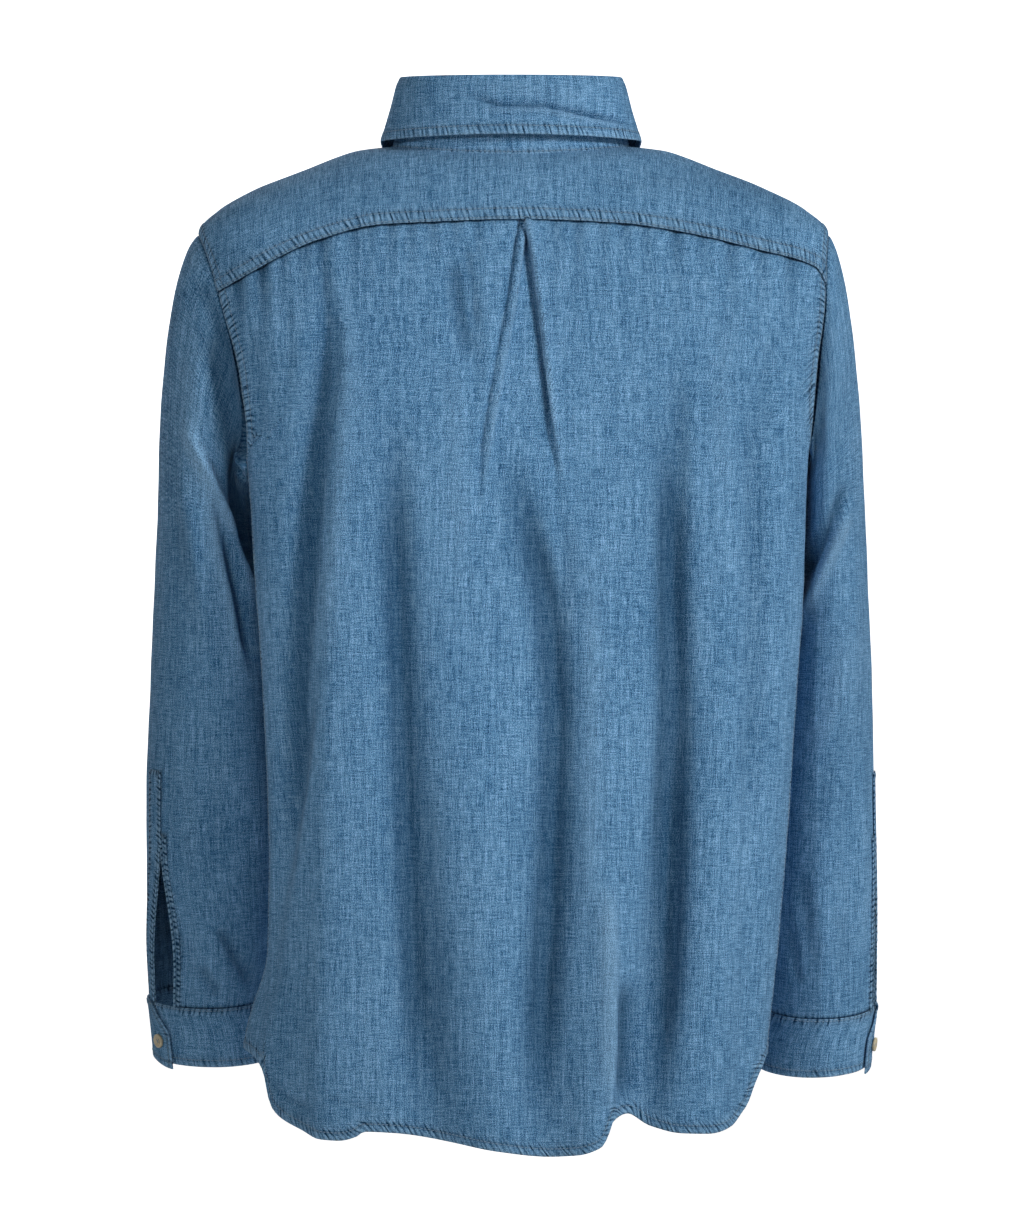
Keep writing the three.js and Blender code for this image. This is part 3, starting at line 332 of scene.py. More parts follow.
# Sleeve rings below the cap: height, x and y of the middle, half widths in x and y, lean
SLEEVE_RINGS = {
    "left": np.array([
        (-285, 236.5, -34, 40, 72, 0),
        (-350, 235.2, -39, 44.6, 69, 0.02),
        (-421, 233.5, -46, 49.3, 65, 0.04),
        (-515, 233, -60, 53, 58, 0.08),
        (-608, 234.5, -79, 51.5, 48, 0.14),
        (-662, 238, -90, 45.5, 40, 0.22),
    ]),
    "right": np.array([
        (-285, -251, -48, 26.5, 82, 0),
        (-350, -249.5, -55, 31, 78, 0.02),
        (-421, -246.5, -62, 37, 72, 0.04),
        (-515, -242.5, -73, 42.5, 62, 0.08),
        (-608, -242, -86, 44.5, 49, 0.16),
        (-668, -241.5, -96, 44.5, 40, 0.28),
    ]),
}
# Long creases of the sleeves: from and to heights, turns there, depth, width as a turn
SLEEVE_CREASES = {
    "left": [
        (-140, -320, 1.5, 1.9, 6, 0.28), (-220, -420, 1.0, 1.5, -4, 0.25), (-280, -520, 0.9, 1.6, 5, 0.3),
        (-560, -665, 1.0, 1.4, 4, 0.25), (-300, -600, -1.2, -1.7, 5, 0.35),
    ],
    "right": [
        (-150, -330, 1.2, 1.6, 5, 0.3), (-290, -520, 0.8, 1.4, -4, 0.3), (-430, -650, 0.9, 1.2, 4, 0.25),
        (-300, -600, -1.1, -1.6, 5, 0.35),
    ],
}
CAP_OUTWARD = {"left": 0.84, "right": 0.62}
CAP_UNDER_OUTWARD = 0.42
CAP_DRAWN_IN = {"left": 0, "right": 3}
SLEEVE_ROWS = 17
DIVIDED_ROW = 11  # from which the slit opens
CAP_SHARE = 0.3  # of the sleeve's rows that make its cap
SLIT_SHARE = {"left": 5 / 7, "right": 3 / 7}  # where the slit's line starts along the yoke's armhole
SLIT_SPREAD = {"left": 0.26, "right": 0.1}
CUFF_HEIGHT = 46
CUFF_OVERLAP_TURN = 0.46
CUFF_START = {"left": 0.38, "right": 0}
CUFF_INWARD = {"left": 4.5, "right": 5}  # how far the wrist edge stands nearer the body
CUFF_CORNER_TURN = 0.42  # how far the cut corner of the over end stands back
CUFF_END_DROP = 4

PLACKET_WIDTH = 34
UNDERLAP_DEPTH = 4.2


def mix(a, b, share):
    return a + (b - a) * share


def ease(start, end, value):
    """A smooth step: 0 before start, 1 past end, 3t² - 2t³ between."""
    share = np.clip((value - start) / (end - start), 0, 1)
    return share * share * (3 - 2 * share)


def bell(value, width):
    """exp(-(value/width)²)"""
    return np.exp(-((value / width) ** 2))


def unit(vectors):
    return vectors / np.maximum(np.linalg.norm(vectors, axis=-1, keepdims=True), 1e-9)


def curve_through(keys, values, key):
    """Cubic pieces through (keys, values) whose end slopes are the harmonic means of the slopes
    beside them, so that the curve keeps rising where the values rise."""
    columns = np.asarray(values, float).reshape(len(keys), -1)
    widths = np.diff(keys)
    slopes = np.diff(columns, axis=0) / widths[:, None]
    tangents = np.zeros_like(columns)
    tangents[0] = slopes[0]
    tangents[-1] = slopes[-1]
    product = slopes[:-1] * slopes[1:]
    total = slopes[:-1] + slopes[1:]
    tangents[1:-1] = np.where(product > 0, 2 * product / np.where(total == 0, 1, total), 0)
    place = np.clip(key, keys[0], keys[-1])
    i = np.clip(np.searchsorted(keys, place) - 1, 0, len(keys) - 2)
    width = widths[i][..., None]
    t = (place - np.asarray(keys)[i])[..., None] / width
    bulge = width * t * (1 - t) * ((1 - t) * tangents[i] - t * tangents[i + 1])
    result = mix(columns[i], columns[i + 1], t * t * (3 - 2 * t)) + bulge
    return result.reshape(np.shape(key) + np.shape(values)[1:])


def ring_point(ring, turn):
    """A point of a ring: an ellipse squared by its power, reach = (|cos|^p + |sin|^p)^(-1/p),
    whose height runs from the sides' to the back's or front's with sin²."""
    side, back, front, left, right, widest, rear, fore, power = np.moveaxis(ring, -1, 0)
    c = np.cos(turn)
    s = np.sin(turn)
    reach = (np.abs(c) ** power + np.abs(s) ** power) ** (-1 / power)
    half = np.where(c > 0, left, right)
    depth = np.where(s > 0, rear, fore)
    low = np.where(s > 0, back, front)
    return np.stack([half * c * reach, widest + depth * s * reach, mix(side, low, s * s)], axis=-1)


def body_base(turn, level):
    return ring_point(curve_through(BODY_LEVELS, BODY_RINGS, level), turn)


def normal_of(surface, a, b, step=0.004):
    """Down the surface crossed with across it, from differences of two steps."""
    across = surface(a + step, b) - surface(a - step, b)
    down = surface(a, b + step) - surface(a, b - step)
    return unit(np.cross(down, across))


def fold_depth(folds, x, z):
    """The sum of troughs depth·ease(from, to, z)·exp(-((x - line)/width)²)."""
    depth = np.zeros_like(x)
    for top, middle, foot, start, end, sink, near, away in folds:
        line = curve_through(-FOLD_HEIGHTS, np.array([top, middle, foot]), -z)
        width = np.where(x > line, near, away)
        depth += sink * ease(start, end, z) * bell(x - line, width)
    return depth


def pleat_depth(x, z):
    """The cloth between two folded edges lies deeper; each edge drops in a smooth step."""
    left = np.interp(-z, -PLEAT_HEIGHTS, PLEAT_LEFT)
    right = np.interp(-z, -PLEAT_HEIGHTS, PLEAT_RIGHT)
    edge = np.interp(-z, -PLEAT_HEIGHTS, PLEAT_EDGE)
    inside = ease(edge, -edge, x - left) * ease(-edge, edge, x - right)
    return np.interp(-z, -PLEAT_HEIGHTS, PLEAT_DEPTH) * inside * ease(-57, -60, z)


def body_surface(turn, level):
    """The rings of the body, moved in by the folds of the back or the fronts."""
    point = body_base(turn, level)
    x, z = point[..., 0], point[..., 2]
    behind = np.sin(turn)
    back = fold_depth(BACK_FOLDS, x, z) + pleat_depth(x, z)
    depth = np.where(behind > 0, back, fold_depth(FRONT_FOLDS, x, z)) * ease(0.12, 0.5, np.abs(behind))
    return point - normal_of(body_base, turn, level) * depth[..., None]


def mirror_turn(side, turn):
    return turn if side == "left" else np.pi - turn


def armhole_place(side, angle):
    """A point of an armhole as (turn, level): an oval, angle 0 at the back and π/2 at the top."""
    shape = ARMHOLES[side]
    half = (ARMHOLE_FOOT - ARMHOLE_TOP) / 2
    level = ARMHOLE_TOP + half - half * np.sin(angle)
    reach = np.where(np.cos(angle) > 0, shape["back"], shape["fore"])
    lean = shape["lean"] * (level - ARMHOLE_TOP) / (ARMHOLE_FOOT - ARMHOLE_TOP)
    return np.stack([mirror_turn(side, reach * np.cos(angle) - lean), level], axis=-1)


def crossing(low, high, rising):
    """Bisection for the value between low and high at which rising turns positive."""
    for _ in range(40):
        middle = (low + high) / 2
        positive = rising(middle) > 0
        low, high = np.where(positive, low, middle), np.where(positive, middle, high)
    return (low + high) / 2


def level_at(turn, outline, low, high):
    """The ring level at which a line down the body meets an outline of (x, height)."""
    turn = np.asarray(turn, float)

    def below(level):
        point = body_base(turn, level)
        return curve_through(outline[:, 0], outline[:, 1], point[..., 0]) - point[..., 2]

    return crossing(np.full(turn.shape, float(low)), np.full(turn.shape, float(high)), below)


HALF_ARMHOLE = (ARMHOLE_FOOT - ARMHOLE_TOP) / 2
FRONT_CORNER = np.pi - np.arcsin((ARMHOLE_TOP + HALF_ARMHOLE - SHOULDER_SEAM_LEVEL) / HALF_ARMHOLE)


def yoke_corner(side):
    """The armhole's angle at which the yoke seam meets it."""

    def below(angle):
        place = armhole_place(side, angle)
        point = body_base(place[..., 0], place[..., 1])
        return curve_through(YOKE_SEAM[:, 0], YOKE_SEAM[:, 1], point[..., 0]) - point[..., 2]

    return float(crossing(np.array(np.pi / 2), np.array(-0.5), below))


YOKE_CORNER = {side: yoke_corner(side) for side in SIDES}


def side_seam(side, share):
    """From the armhole's foot to the tail, its turn easing to the side line."""
    foot = armhole_place(side, -np.pi / 2)
    turn = mirror_turn(side, 0.0)
    end = level_at(turn, BACK_TAIL, ARMHOLE_FOOT, LAST_LEVEL)
    return np.stack([mix(foot[0], turn, ease(0, 0.4, share)), mix(foot[1], end, share)], axis=-1)


def outer_edge(side, share, foot_share, corner):
    """A panel's outer edge: along the armhole from a corner to its foot, then the side seam."""
    upper = armhole_place(side, mix(corner, -np.pi / 2, np.clip(share / foot_share, 0, 1)))
    lower = side_seam(side, np.clip((share - foot_share) / (1 - foot_share), 0, 1))
    return np.where((share < foot_share)[:, None], upper, lower)


def patch(top, bottom, left, right, across, down):
    """Places between four edges: the two blends less the blend of the four corners."""
    u = across[None, :, None]
    v = down[:, None, None]
    upper = (1 - u) * (1 - v) * top[0] + u * (1 - v) * top[-1]
    corners = upper + (1 - u) * v * bottom[0] + u * v * bottom[-1]
    return mix(top[None], bottom[None], v) + mix(left[:, None], right[:, None], u) - corners


def crowded(count, *places):
    """count + 1 shares from 0 to 1, evenly spaced along the running total of the density
    1 + strength·exp(-((s - place)/width)²)."""
    fine = np.linspace(0, 1, 4001)
    density = 1 + sum(strength * bell(fine - place, width) for place, width, strength in places)
    total = np.concatenate([[0], np.cumsum((density[1:] + density[:-1]) / 2)])
    return np.interp(np.linspace(0, 1, count + 1), total / total[-1], fine)


def ripple(place, spacing, seed):
    """Uneven waves: seeded heights of alternate sign at uneven knots, joined by smooth steps."""
    rng = np.random.default_rng(seed)
    low = place.min() - spacing
    count = int(np.ceil((place.max() - low) / spacing)) + 3
    knots = low + (np.arange(count) + rng.uniform(-0.32, 0.32, count)) * spacing
    heights = rng.uniform(0.2, 1, count) * np.where(np.arange(count) % 2, 1, -1)
    i = np.clip(np.searchsorted(knots, place) - 1, 0, count - 2)
    t = np.clip((place - knots[i]) / (knots[i + 1] - knots[i]), 0, 1)
    return mix(heights[i], heights[i + 1], t * t * (3 - 2 * t))


def undulation(u, v, size, seed):
    """Soft unevenness: the mean of seeded sine waves of about one size in all directions."""
    rng = np.random.default_rng(seed)
    total = np.zeros_like(u)
    for _ in range(7):
        direction = rng.uniform(0, np.pi)
        length = size * rng.uniform(0.7, 1.5)
        phase = rng.uniform(0, 2 * np.pi)
        total += np.sin((u * np.cos(direction) + v * np.sin(direction)) * 2 * np.pi / length + phase)
    return total / 7


def crease_relief(points, creases, facing):
    """Creases along bent lines in (x, height): -depth·exp(-(distance/width)²), fading to both
    ends, on the faces that look the creases' way."""
    x, z = points[..., 0], points[..., 2]
    relief = np.zeros_like(x)
    for line, depth, near, away in creases:
        line = np.array(line, float)
        lengths = np.linalg.norm(np.diff(line, axis=0), axis=1)
        starts = np.concatenate([[0], np.cumsum(lengths)])
        nearest = np.full(x.shape, 1e9)
        signed = np.zeros_like(x)
        share = np.zeros_like(x)
        for k, length in enumerate(lengths):
            run = (line[k + 1] - line[k]) / length
            along = np.clip((x - line[k, 0]) * run[0] + (z - line[k, 1]) * run[1], 0, length)
            gap_x = x - line[k, 0] - run[0] * along
            gap_z = z - line[k, 1] - run[1] * along
            gap = np.hypot(gap_x, gap_z)
            closer = gap < nearest
            nearest = np.where(closer, gap, nearest)
            side = np.sign(gap_x * -run[1] + gap_z * run[0])
            signed = np.where(closer, side, signed)
            share = np.where(closer, (starts[k] + along) / starts[-1], share)
        fade = ease(0, 0.22, share) * ease(1, 0.72, share)
        width = np.where(signed > 0, near, away)
        relief -= depth * fade * bell(nearest, width)
    return relief * facing


def turned(grid, edge):
    """The grid with the named edge as its first row."""
    if edge == "bottom":
        return grid[::-1]
    if edge == "left":
        return grid.swapaxes(0, 1)
    if edge == "right":
        return grid[:, ::-1].swapaxes(0, 1)
    return grid


def turned_back(grid, edge):
    if edge == "right":
        return grid.swapaxes(0, 1)[:, ::-1]
    return turned(grid, edge)


def arc_along(path):
    return np.concatenate([[0], np.cumsum(np.linalg.norm(np.diff(path, axis=0), axis=-1))])


class Sheet:
    """A cloth piece as a grid of points, rows down and columns across, seen from outside with +X
    at the left. relief moves it out along its normals; its pale tint lightens its cloth, partly for
    wear of its seam edges and partly as painted highlight where edges and crests stand out, and
    shade darkens it as painted shade in grooves, creases and gathers; pucker is how far its
    stitches ruck it, and seam the place along and off the nearest seam."""

    def __init__(self, points, weave, joined=None):
        self.base = points
        self.weave = weave
        self.joined = np.zeros(len(points), bool) if joined is None else joined
        self.relief = np.zeros(points.shape[:2])
        self.wear = np.zeros(points.shape[:2])
        self.shade = np.zeros(points.shape[:2])
        self.pucker = np.zeros(points.shape[:2])
        self.seam = np.zeros(points.shape[:2] + (2,))

    def normals(self, points):
        """Unit normals: the gradient down the grid crossed with the gradient across it."""
        across = np.gradient(points, axis=1)
        wrapped = (points[:, 1] - points[:, -2]) / 2
        for end in (0, -1):
            across[self.joined, end] = wrapped[self.joined]
        return unit(np.cross(np.gradient(points, axis=0), across))

    def shape(self):
        return self.base + self.normals(self.base) * self.relief[..., None]

    def from_edge(self, edge):
        """Distance from an edge and place along it: the run along the grid, split into its parts
        square to the edge and along it."""
        grid = turned(self.base, edge)
        steps = np.linalg.norm(np.diff(grid, axis=0), axis=-1)
        inward = np.concatenate([np.zeros((1, grid.shape[1])), np.cumsum(steps, axis=0)])
        tangent = unit(np.gradient(grid[0], axis=0))
        lean = (unit(grid[3] - grid[0]) * tangent).sum(axis=-1)
        lean = np.clip(lean, -0.95, 0.95)
        distance = inward * np.sqrt(1 - lean**2)
        along = arc_along(grid[0]) + inward * lean
        return turned_back(distance, edge), turned_back(along, edge)

    def line(self, edge, distance, start=0.0, end=1.0, out=0.0):
        """A line at a distance from an edge, on the finished shape: its points and normals."""
        shape = self.shape()
        points = turned(shape, edge)
        normals = turned(self.normals(shape), edge)
        inward = turned(self.from_edge(edge)[0], edge)
        count = points.shape[1]
        kept = np.arange(int(start * (count - 1)), int(end * (count - 1)) + 1)
        k = np.clip((inward < distance).sum(axis=0), 1, len(points) - 1)[kept]
        low, high = inward[k - 1, kept], inward[k, kept]
        share = np.clip((distance - low) / np.maximum(high - low, 1e-6), 0, 1)[:, None]
        path = mix(points[k - 1, kept], points[k, kept], share)
        facing = unit(mix(normals[k - 1, kept], normals[k, kept], share))
        return path + facing * out, facing

    def add(self, finish, weight=1.0):
        relief, wear, shade, pucker, seam = finish
        self.relief += relief * weight
        self.wear = np.maximum(self.wear, wear * weight)
        self.shade = np.maximum(self.shade, shade * weight)
        stronger = pucker * weight > self.pucker
        self.pucker = np.where(stronger, pucker * weight, self.pucker)
        self.seam = np.where(stronger[..., None], seam, self.seam)

    def crease(self, creases, facing):
        """Creases sink or stand out; the cloth gets painted shade down in them and painted
        highlight on their crests.
        """
        relief = crease_relief(self.base, creases, facing)
        self.relief += relief
        self.shade = np.maximum(self.shade, np.clip(-relief * CREASE_SHADE, 0, 0.75))
        self.wear = np.maximum(self.wear, np.clip(relief * CREASE_HIGHLIGHT, 0, 0.7))


def lapped(distance, along, width, seed, height=0.8, rows=YOKE_ROWS, pull=0.42):
    """An edge that lies on its neighbour: a raised band, grooves at its rows of stitches and
    slanting puckers between them. Its grooves get painted shade; its edge is paler, partly for
    wear and partly as painted highlight."""
    band = ease(width + 1.4, width, distance)
    rounding = 0.3 * bell(distance, 0.7)
    groove = sum(bell(distance - row, 0.75) for row in rows)
    reach = ease(width + 4.5, width - 1.5, distance)
    pucker = ripple(along + 0.35 * distance, PUCKER_SPACING, seed) * ease(0.4, 2.2, distance) * reach
    relief = height * band - rounding - 0.3 * groove + 0.6 * pull * pucker
    wear = np.clip(0.14 * band + 1.35 * bell(distance, 1.2), 0, 1)
    shade = np.clip(0.66 * groove, 0, 1)
    seam = np.stack([along + 0.3 * distance + PUCKERS_APART * seed, distance], axis=-1)
    return relief, wear, shade, reach * pull * 2.2, seam


def tucked(distance, along, seed, depth=0.7, pull=0.3):
    """An edge that passes under its neighbour: it sinks, with soft puckers beyond it and
    painted shade along the sunk edge.
    """
    pucker = ripple(along, 3.6, seed) * ease(9, 1, distance)
    relief = -depth * bell(distance, 1.4) + 0.6 * pull * pucker
    shade = bell(distance, 1.7)
    seam = np.stack([along + PUCKERS_APART * seed, distance], axis=-1)
    return relief, np.zeros_like(relief), shade, 1.4 * pull * ease(9, 0, distance), seam


def hemmed(distance, along, width, seed, height=0.7):
    """A turned edge: a raised roll, one groove of stitches and slanting puckers like a rope.
    Its groove gets painted shade; its rolled edge is paler, partly for wear and partly as painted
    highlight.
    """
    band = ease(width + 1.0, width - 0.4, distance)
    groove = bell(distance - width + 0.9, 0.7)
    reach = ease(width + 6, width - 1, distance)
    pucker = ripple(along + 0.8 * distance, PUCKER_SPACING, seed) * ease(0.2, 1.6, distance) * reach
    relief = height * band - 0.35 * bell(distance, 0.8) - 0.3 * groove + 0.3 * pucker
    wear = np.clip(1.2 * bell(distance, 1.3) + 0.14 * band, 0, 1)
    shade = np.clip(0.7 * groove, 0, 1)
    seam = np.stack([along + 0.8 * distance + PUCKERS_APART * seed, distance], axis=-1)
    return relief, wear, shade, 0.95 * reach, seam


def level_weave(points):
    """Where the yarns run on a hanging panel: along each row by its run seen from above, counted
    from x = 0, and down by height."""
    flat_steps = np.hypot(np.diff(points[..., 0], axis=1), np.diff(points[..., 1], axis=1))
    run = np.concatenate([np.zeros((len(points), 1)), np.cumsum(flat_steps, axis=1)], axis=1)
    rows = np.arange(len(points))
    middle = run[rows, np.argmin(np.abs(points[..., 0]), axis=1)]
    return np.stack([middle[:, None] - run, points[..., 2]], axis=-1)


def own_weave(points):
    """Weave that follows a piece's own rows and columns, measured through its middle."""
    rows, columns = points.shape[:2]
    across = arc_along(points[rows // 2])
    steps = np.linalg.norm(np.diff(points, axis=0), axis=-1)
    down = np.concatenate([[np.zeros(columns)], np.cumsum(steps, axis=0)])
    return np.stack([np.broadcast_to(across, (rows, columns)), -down], axis=-1)


def yoke_sheet():
    across = crowded(360, (0, 0.03, 1.4), (1, 0.03, 1.4))
    down = crowded(54, (1, 0.1, 2.6), (0, 0.1, 1.6))
    knots = [0, SHOULDER_SHARE, 1 - SHOULDER_SHARE, 1]
    ends = [armhole_place(side, FRONT_CORNER) for side in SIDES]
    turns = [ends[0][0], -SHOULDER_SEAM_TURN, np.pi + SHOULDER_SEAM_TURN, ends[1][0]]
    levels = [ends[0][1], 0, 0, ends[1][1]]
    top = np.stack([np.interp(across, knots, turns), np.interp(across, knots, levels)], axis=-1)
    closer = across + PLEAT_CROWDING * np.sin(2 * np.pi * across) / (2 * np.pi)
    corners = [armhole_place(side, YOKE_CORNER[side]) for side in SIDES]
    turn = mix(corners[0][0], corners[1][0], closer)
    seam = np.stack([turn, level_at(turn, YOKE_SEAM, 1, ARMHOLE_FOOT)], axis=-1)
    left = armhole_place("left", mix(FRONT_CORNER, YOKE_CORNER["left"], down))
    right = armhole_place("right", mix(FRONT_CORNER, YOKE_CORNER["right"], down))
    places = patch(top, seam, left, right, across, down)
    points = body_surface(places[..., 0], places[..., 1])
    steps = np.linalg.norm(np.diff(points, axis=0), axis=-1)
    rise = np.concatenate([np.cumsum(steps[::-1], axis=0)[::-1], np.zeros((1, len(across)))])
    sheet = Sheet(points, np.stack([points[..., 0], rise], axis=-1))
    facing = ease(-0.1, 0.5, sheet.normals(points)[..., 1])
    sheet.crease(YOKE_CREASES, facing)
    sheet.relief += 0.35 * undulation(points[..., 0], rise, 38, 3)
    distance, along = sheet.from_edge("bottom")
    sheet.add(lapped(distance, along, 10, 11))
    for edge, seed in (("left", 12), ("right", 13)):
        distance, along = sheet.from_edge(edge)
        sheet.add(lapped(distance, along, 9, seed, rows=ARMHOLE_ROWS))
    distance, along = sheet.from_edge("top")
    shoulder = np.where(np.abs(across - 0.5) > 0.5 - SHOULDER_SHARE, 1.0, 0.0)[None, :]
    sheet.add(lapped(distance, along, 7, 14, rows=SHOULDER_ROWS), shoulder)
    sheet.add(tucked(distance, along, 15, depth=0.4), 1 - shoulder)
    return sheet


def back_sheet():
    across = crowded(226, (0, 0.02, 2.0), (1, 0.02, 2.0), (0.52, 0.045, 2.2))
    down = crowded(196, (0, 0.02, 1.8), (1, 0.02, 2.6))
    closer = across + PLEAT_CROWDING * np.sin(2 * np.pi * across) / (2 * np.pi)
    corners = [armhole_place(side, YOKE_CORNER[side]) for side in SIDES]
    turn = mix(corners[0][0], corners[1][0], closer)
    top = np.stack([turn, level_at(turn, YOKE_SEAM, 1, ARMHOLE_FOOT)], axis=-1)
    turn = np.pi * closer
    tail = np.stack([turn, level_at(turn, BACK_TAIL, ARMHOLE_FOOT, LAST_LEVEL)], axis=-1)
    left = outer_edge("left", down, FOOT_SHARE["back"], YOKE_CORNER["left"])
    right = outer_edge("right", down, FOOT_SHARE["back"], YOKE_CORNER["right"])
    places = patch(top, tail, left, right, across, down)
    points = body_surface(places[..., 0], places[..., 1])
    sheet = Sheet(points, level_weave(points))
    x, z = points[..., 0], points[..., 2]
    facing = ease(0.1, 0.6, np.sin(places[..., 0]))
    sheet.crease(BACK_CREASES, facing)
    sheet.crease(BACK_BANDS, facing)
    distance, along = sheet.from_edge("top")
    # Gathers sink below the yoke seam, and their troughs get painted shade
    for place, depth, width, reach, drift in GATHERS:
        sunk = depth * bell(x - place - drift * distance, width) * np.exp(-distance / reach)
        sheet.relief -= GATHER_RELIEF * sunk
        sheet.shade = np.maximum(sheet.shade, np.clip(GATHER_SHADE * sunk, 0, 0.8))
    sheet.relief += 0.5 * undulation(x, z, 60, 4) + 0.22 * undulation(x, z, 22, 5)
    sheet.add(tucked(distance, along, 21, depth=0.9, pull=0.25))
    finish_panel(sheet, SIDES, down, FOOT_SHARE["back"], 30)
    return sheet


def finish_panel(sheet, edges, down, foot_share, seed):
    """Armhole edges lie on the sleeves, side seams are lapped and the tail is hemmed."""
    above = ease(foot_share + 0.012, foot_share - 0.012, down)[:, None]
    for edge in edges:
        distance, along = sheet.from_edge(edge)
        sheet.add(lapped(distance, along, 9, seed, rows=ARMHOLE_ROWS), above)
        sheet.add(lapped(distance, along, 6, seed + 1, height=0.5, rows=SEAM_ROWS, pull=0.7), 1 - above)
    distance, along = sheet.from_edge("bottom")
    sheet.add(hemmed(distance, along, HEM_WIDTH, seed + 2))


def front_sheet(side):
    past = -1 if side == "left" else 1  # each front runs past the middle to the other side
    toward = 0 if side == "left" else -2 * np.pi

    def edge_turn(level):
        ring = curve_through(BODY_LEVELS, BODY_RINGS, np.asarray(level, float))
        return FRONT + past * PLACKET_WIDTH / 2 / ring[..., 4 if past < 0 else 3]

    across = crowded(112, (0, 0.04, 1.2), (1, 0.04, 2.2))
    down = crowded(186, (0, 0.02, 1.6), (1, 0.02, 2.6))
    end = armhole_place(side, FRONT_CORNER)
    knots = [0, NECK_SHARE, 1]
    turns = [edge_turn(0.0), mirror_turn(side, -SHOULDER_SEAM_TURN) + toward, end[0] + toward]
    top = np.stack([np.interp(across, knots, turns), np.interp(across, knots, [0, 0, end[1]])], axis=-1)
    outside = outer_edge(side, down, FOOT_SHARE["front"], FRONT_CORNER - 2 * np.pi)
    outside = outside + np.array([toward, 0])
    middle_end = level_at(edge_turn(13.0), FRONT_TAIL, ARMHOLE_FOOT, LAST_LEVEL)
    inside = np.stack([edge_turn(middle_end * down), middle_end * down], axis=-1)
    turn = mix(inside[-1, 0], outside[-1, 0], across)
    tail = np.stack([turn, level_at(turn, FRONT_TAIL, ARMHOLE_FOOT, LAST_LEVEL)], axis=-1)
    tail[0] = inside[-1]
    tail[-1] = outside[-1]
    places = patch(top, tail, inside, outside, across, down)
    if side == "right":
        places = places[:, ::-1]
    turn, level = places[..., 0], places[..., 1]
    points = body_surface(turn, level)
    if side == "right":
        sunk = UNDERLAP_DEPTH * ease(-60, -24, points[..., 0])
        points = points - normal_of(body_base, turn, level) * sunk[..., None]
    sheet = Sheet(points, level_weave(points))
    x, z = points[..., 0], points[..., 2]
    sheet.crease(FRONT_CREASES, ease(0.1, 0.6, -np.sin(turn)))
    sheet.relief += 0.5 * undulation(x, z, 60, 6) + 0.22 * undulation(x, z, 22, 7)
    distance, along = sheet.from_edge("top")
    sheet.add(tucked(distance, along, 41, depth=0.6))
    finish_panel(sheet, ["right" if side == "left" else "left"], down, FOOT_SHARE["front"], 50)
    return sheet


def placket_sheet():
    """The buttonhole band: its rows follow the rings, its width lies either side of the middle."""
    end = front_middle_end()
    level = mix(0.1, end, np.linspace(0, 1, 261))[:, None]
    x = np.linspace(-PLACKET_WIDTH / 2, PLACKET_WIDTH / 2, 19)[None, :]
    ring = curve_through(BODY_LEVELS, BODY_RINGS, level)
    turn = FRONT + x / np.where(x < 0, ring[..., 4], ring[..., 3])
    level = np.broadcast_to(level, turn.shape)
    points = body_surface(turn, level)
    points = points + normal_of(body_surface, turn, level) * (LAYER_GAP + PLACKET_WALL)
    sheet = Sheet(points, own_weave(points))
    for edge, seed in (("left", 61), ("right", 62)):
        distance, along = sheet.from_edge(edge)
        sheet.add(lapped(distance, along, 6, seed, height=0.3, rows=(BAND_ROW,), pull=0.28))
    distance, along = sheet.from_edge("bottom")
    sheet.add(hemmed(distance, along, HEM_WIDTH, 63, height=0.3))
    return sheet


def front_middle_end():
    ring = curve_through(BODY_LEVELS, BODY_RINGS, 13.0)
    turn = FRONT - PLACKET_WIDTH / 2 / ring[4]
    return float(level_at(turn, FRONT_TAIL, ARMHOLE_FOOT, LAST_LEVEL))


def stand_sheet():
    """The band of the collar: straight rows between the neck seam's ring and its top ring."""
    share = np.linspace(0, 1, 241)[None, ::-1]
    down = crowded(26, (1, 0.2, 1.0))[:, None]
    ring = mix(STAND_TOP, STAND_FOOT, down[..., None])
    turn = FRONT + STAND_OVERLAP_TURN - share * 2 * (np.pi + STAND_OVERLAP_TURN)
    points = ring_point(ring, turn)
    over = (STIFF_WALL + 2 * LAYER_GAP) * ease(0.82, 0.95, share)
    points = points + over[..., None] * np.stack([np.cos(turn), np.sin(turn), np.zeros_like(turn)], axis=-1)
    sheet = Sheet(points, own_weave(points))
    for edge, seed in (("bottom", 71), ("left", 72), ("right", 73)):
        distance, along = sheet.from_edge(edge)
        sheet.add(lapped(distance, along, 3.4, seed, height=0.35, rows=(STAND_ROW,), pull=0.3))
    return sheet


def fall_sheet():
    """The collar's leaf: rows go up inside, over the fold and down outside; its ends stand back
    and drop to points in front."""
    keys = np.arange(len(FALL_RINGS))
    down = crowded(62, (1, 0.12, 1.6), (0.4, 0.12, 1.0)) * keys[-1]
    share = np.linspace(0, 1, 281)[None, ::-1]
    ring = curve_through(keys, FALL_RINGS, down)[:, None, :]
    spread = curve_through(keys, FALL_SPREAD, down)[:, None]
    end = FALL_END_TURN + FALL_POINT_TURN * spread
    turn = FRONT - end - share * 2 * (np.pi - end)
    points = ring_point(ring, turn)
    from_end = np.minimum(share, 1 - share)
    points[..., 2] += curve_through(keys, FALL_RAISE, down)[:, None]
    points[..., 2] -= FALL_POINT_DROP * spread * ease(0.22, 0, from_end)
    sheet = Sheet(points, own_weave(points))
    outer = ease(2.4, 3.2, down)[:, None]
    facing = outer * ease(0, 0.4, np.sin(turn))
    sheet.crease(COLLAR_CREASES, facing)
    sheet.relief += 0.3 * outer * undulation(points[..., 0], points[..., 2], 34, 8)
    distance, along = sheet.from_edge("bottom")
    sheet.add(lapped(distance, along, 7.4, 81, height=0.3, rows=(LEAF_ROW,), pull=0.36))
    for edge, seed in (("left", 82), ("right", 83)):
        distance, along = sheet.from_edge(edge)
        sheet.add(lapped(distance, along, 7.4, seed, height=0.3, rows=(LEAF_ROW,), pull=0.36), outer)
    return sheet


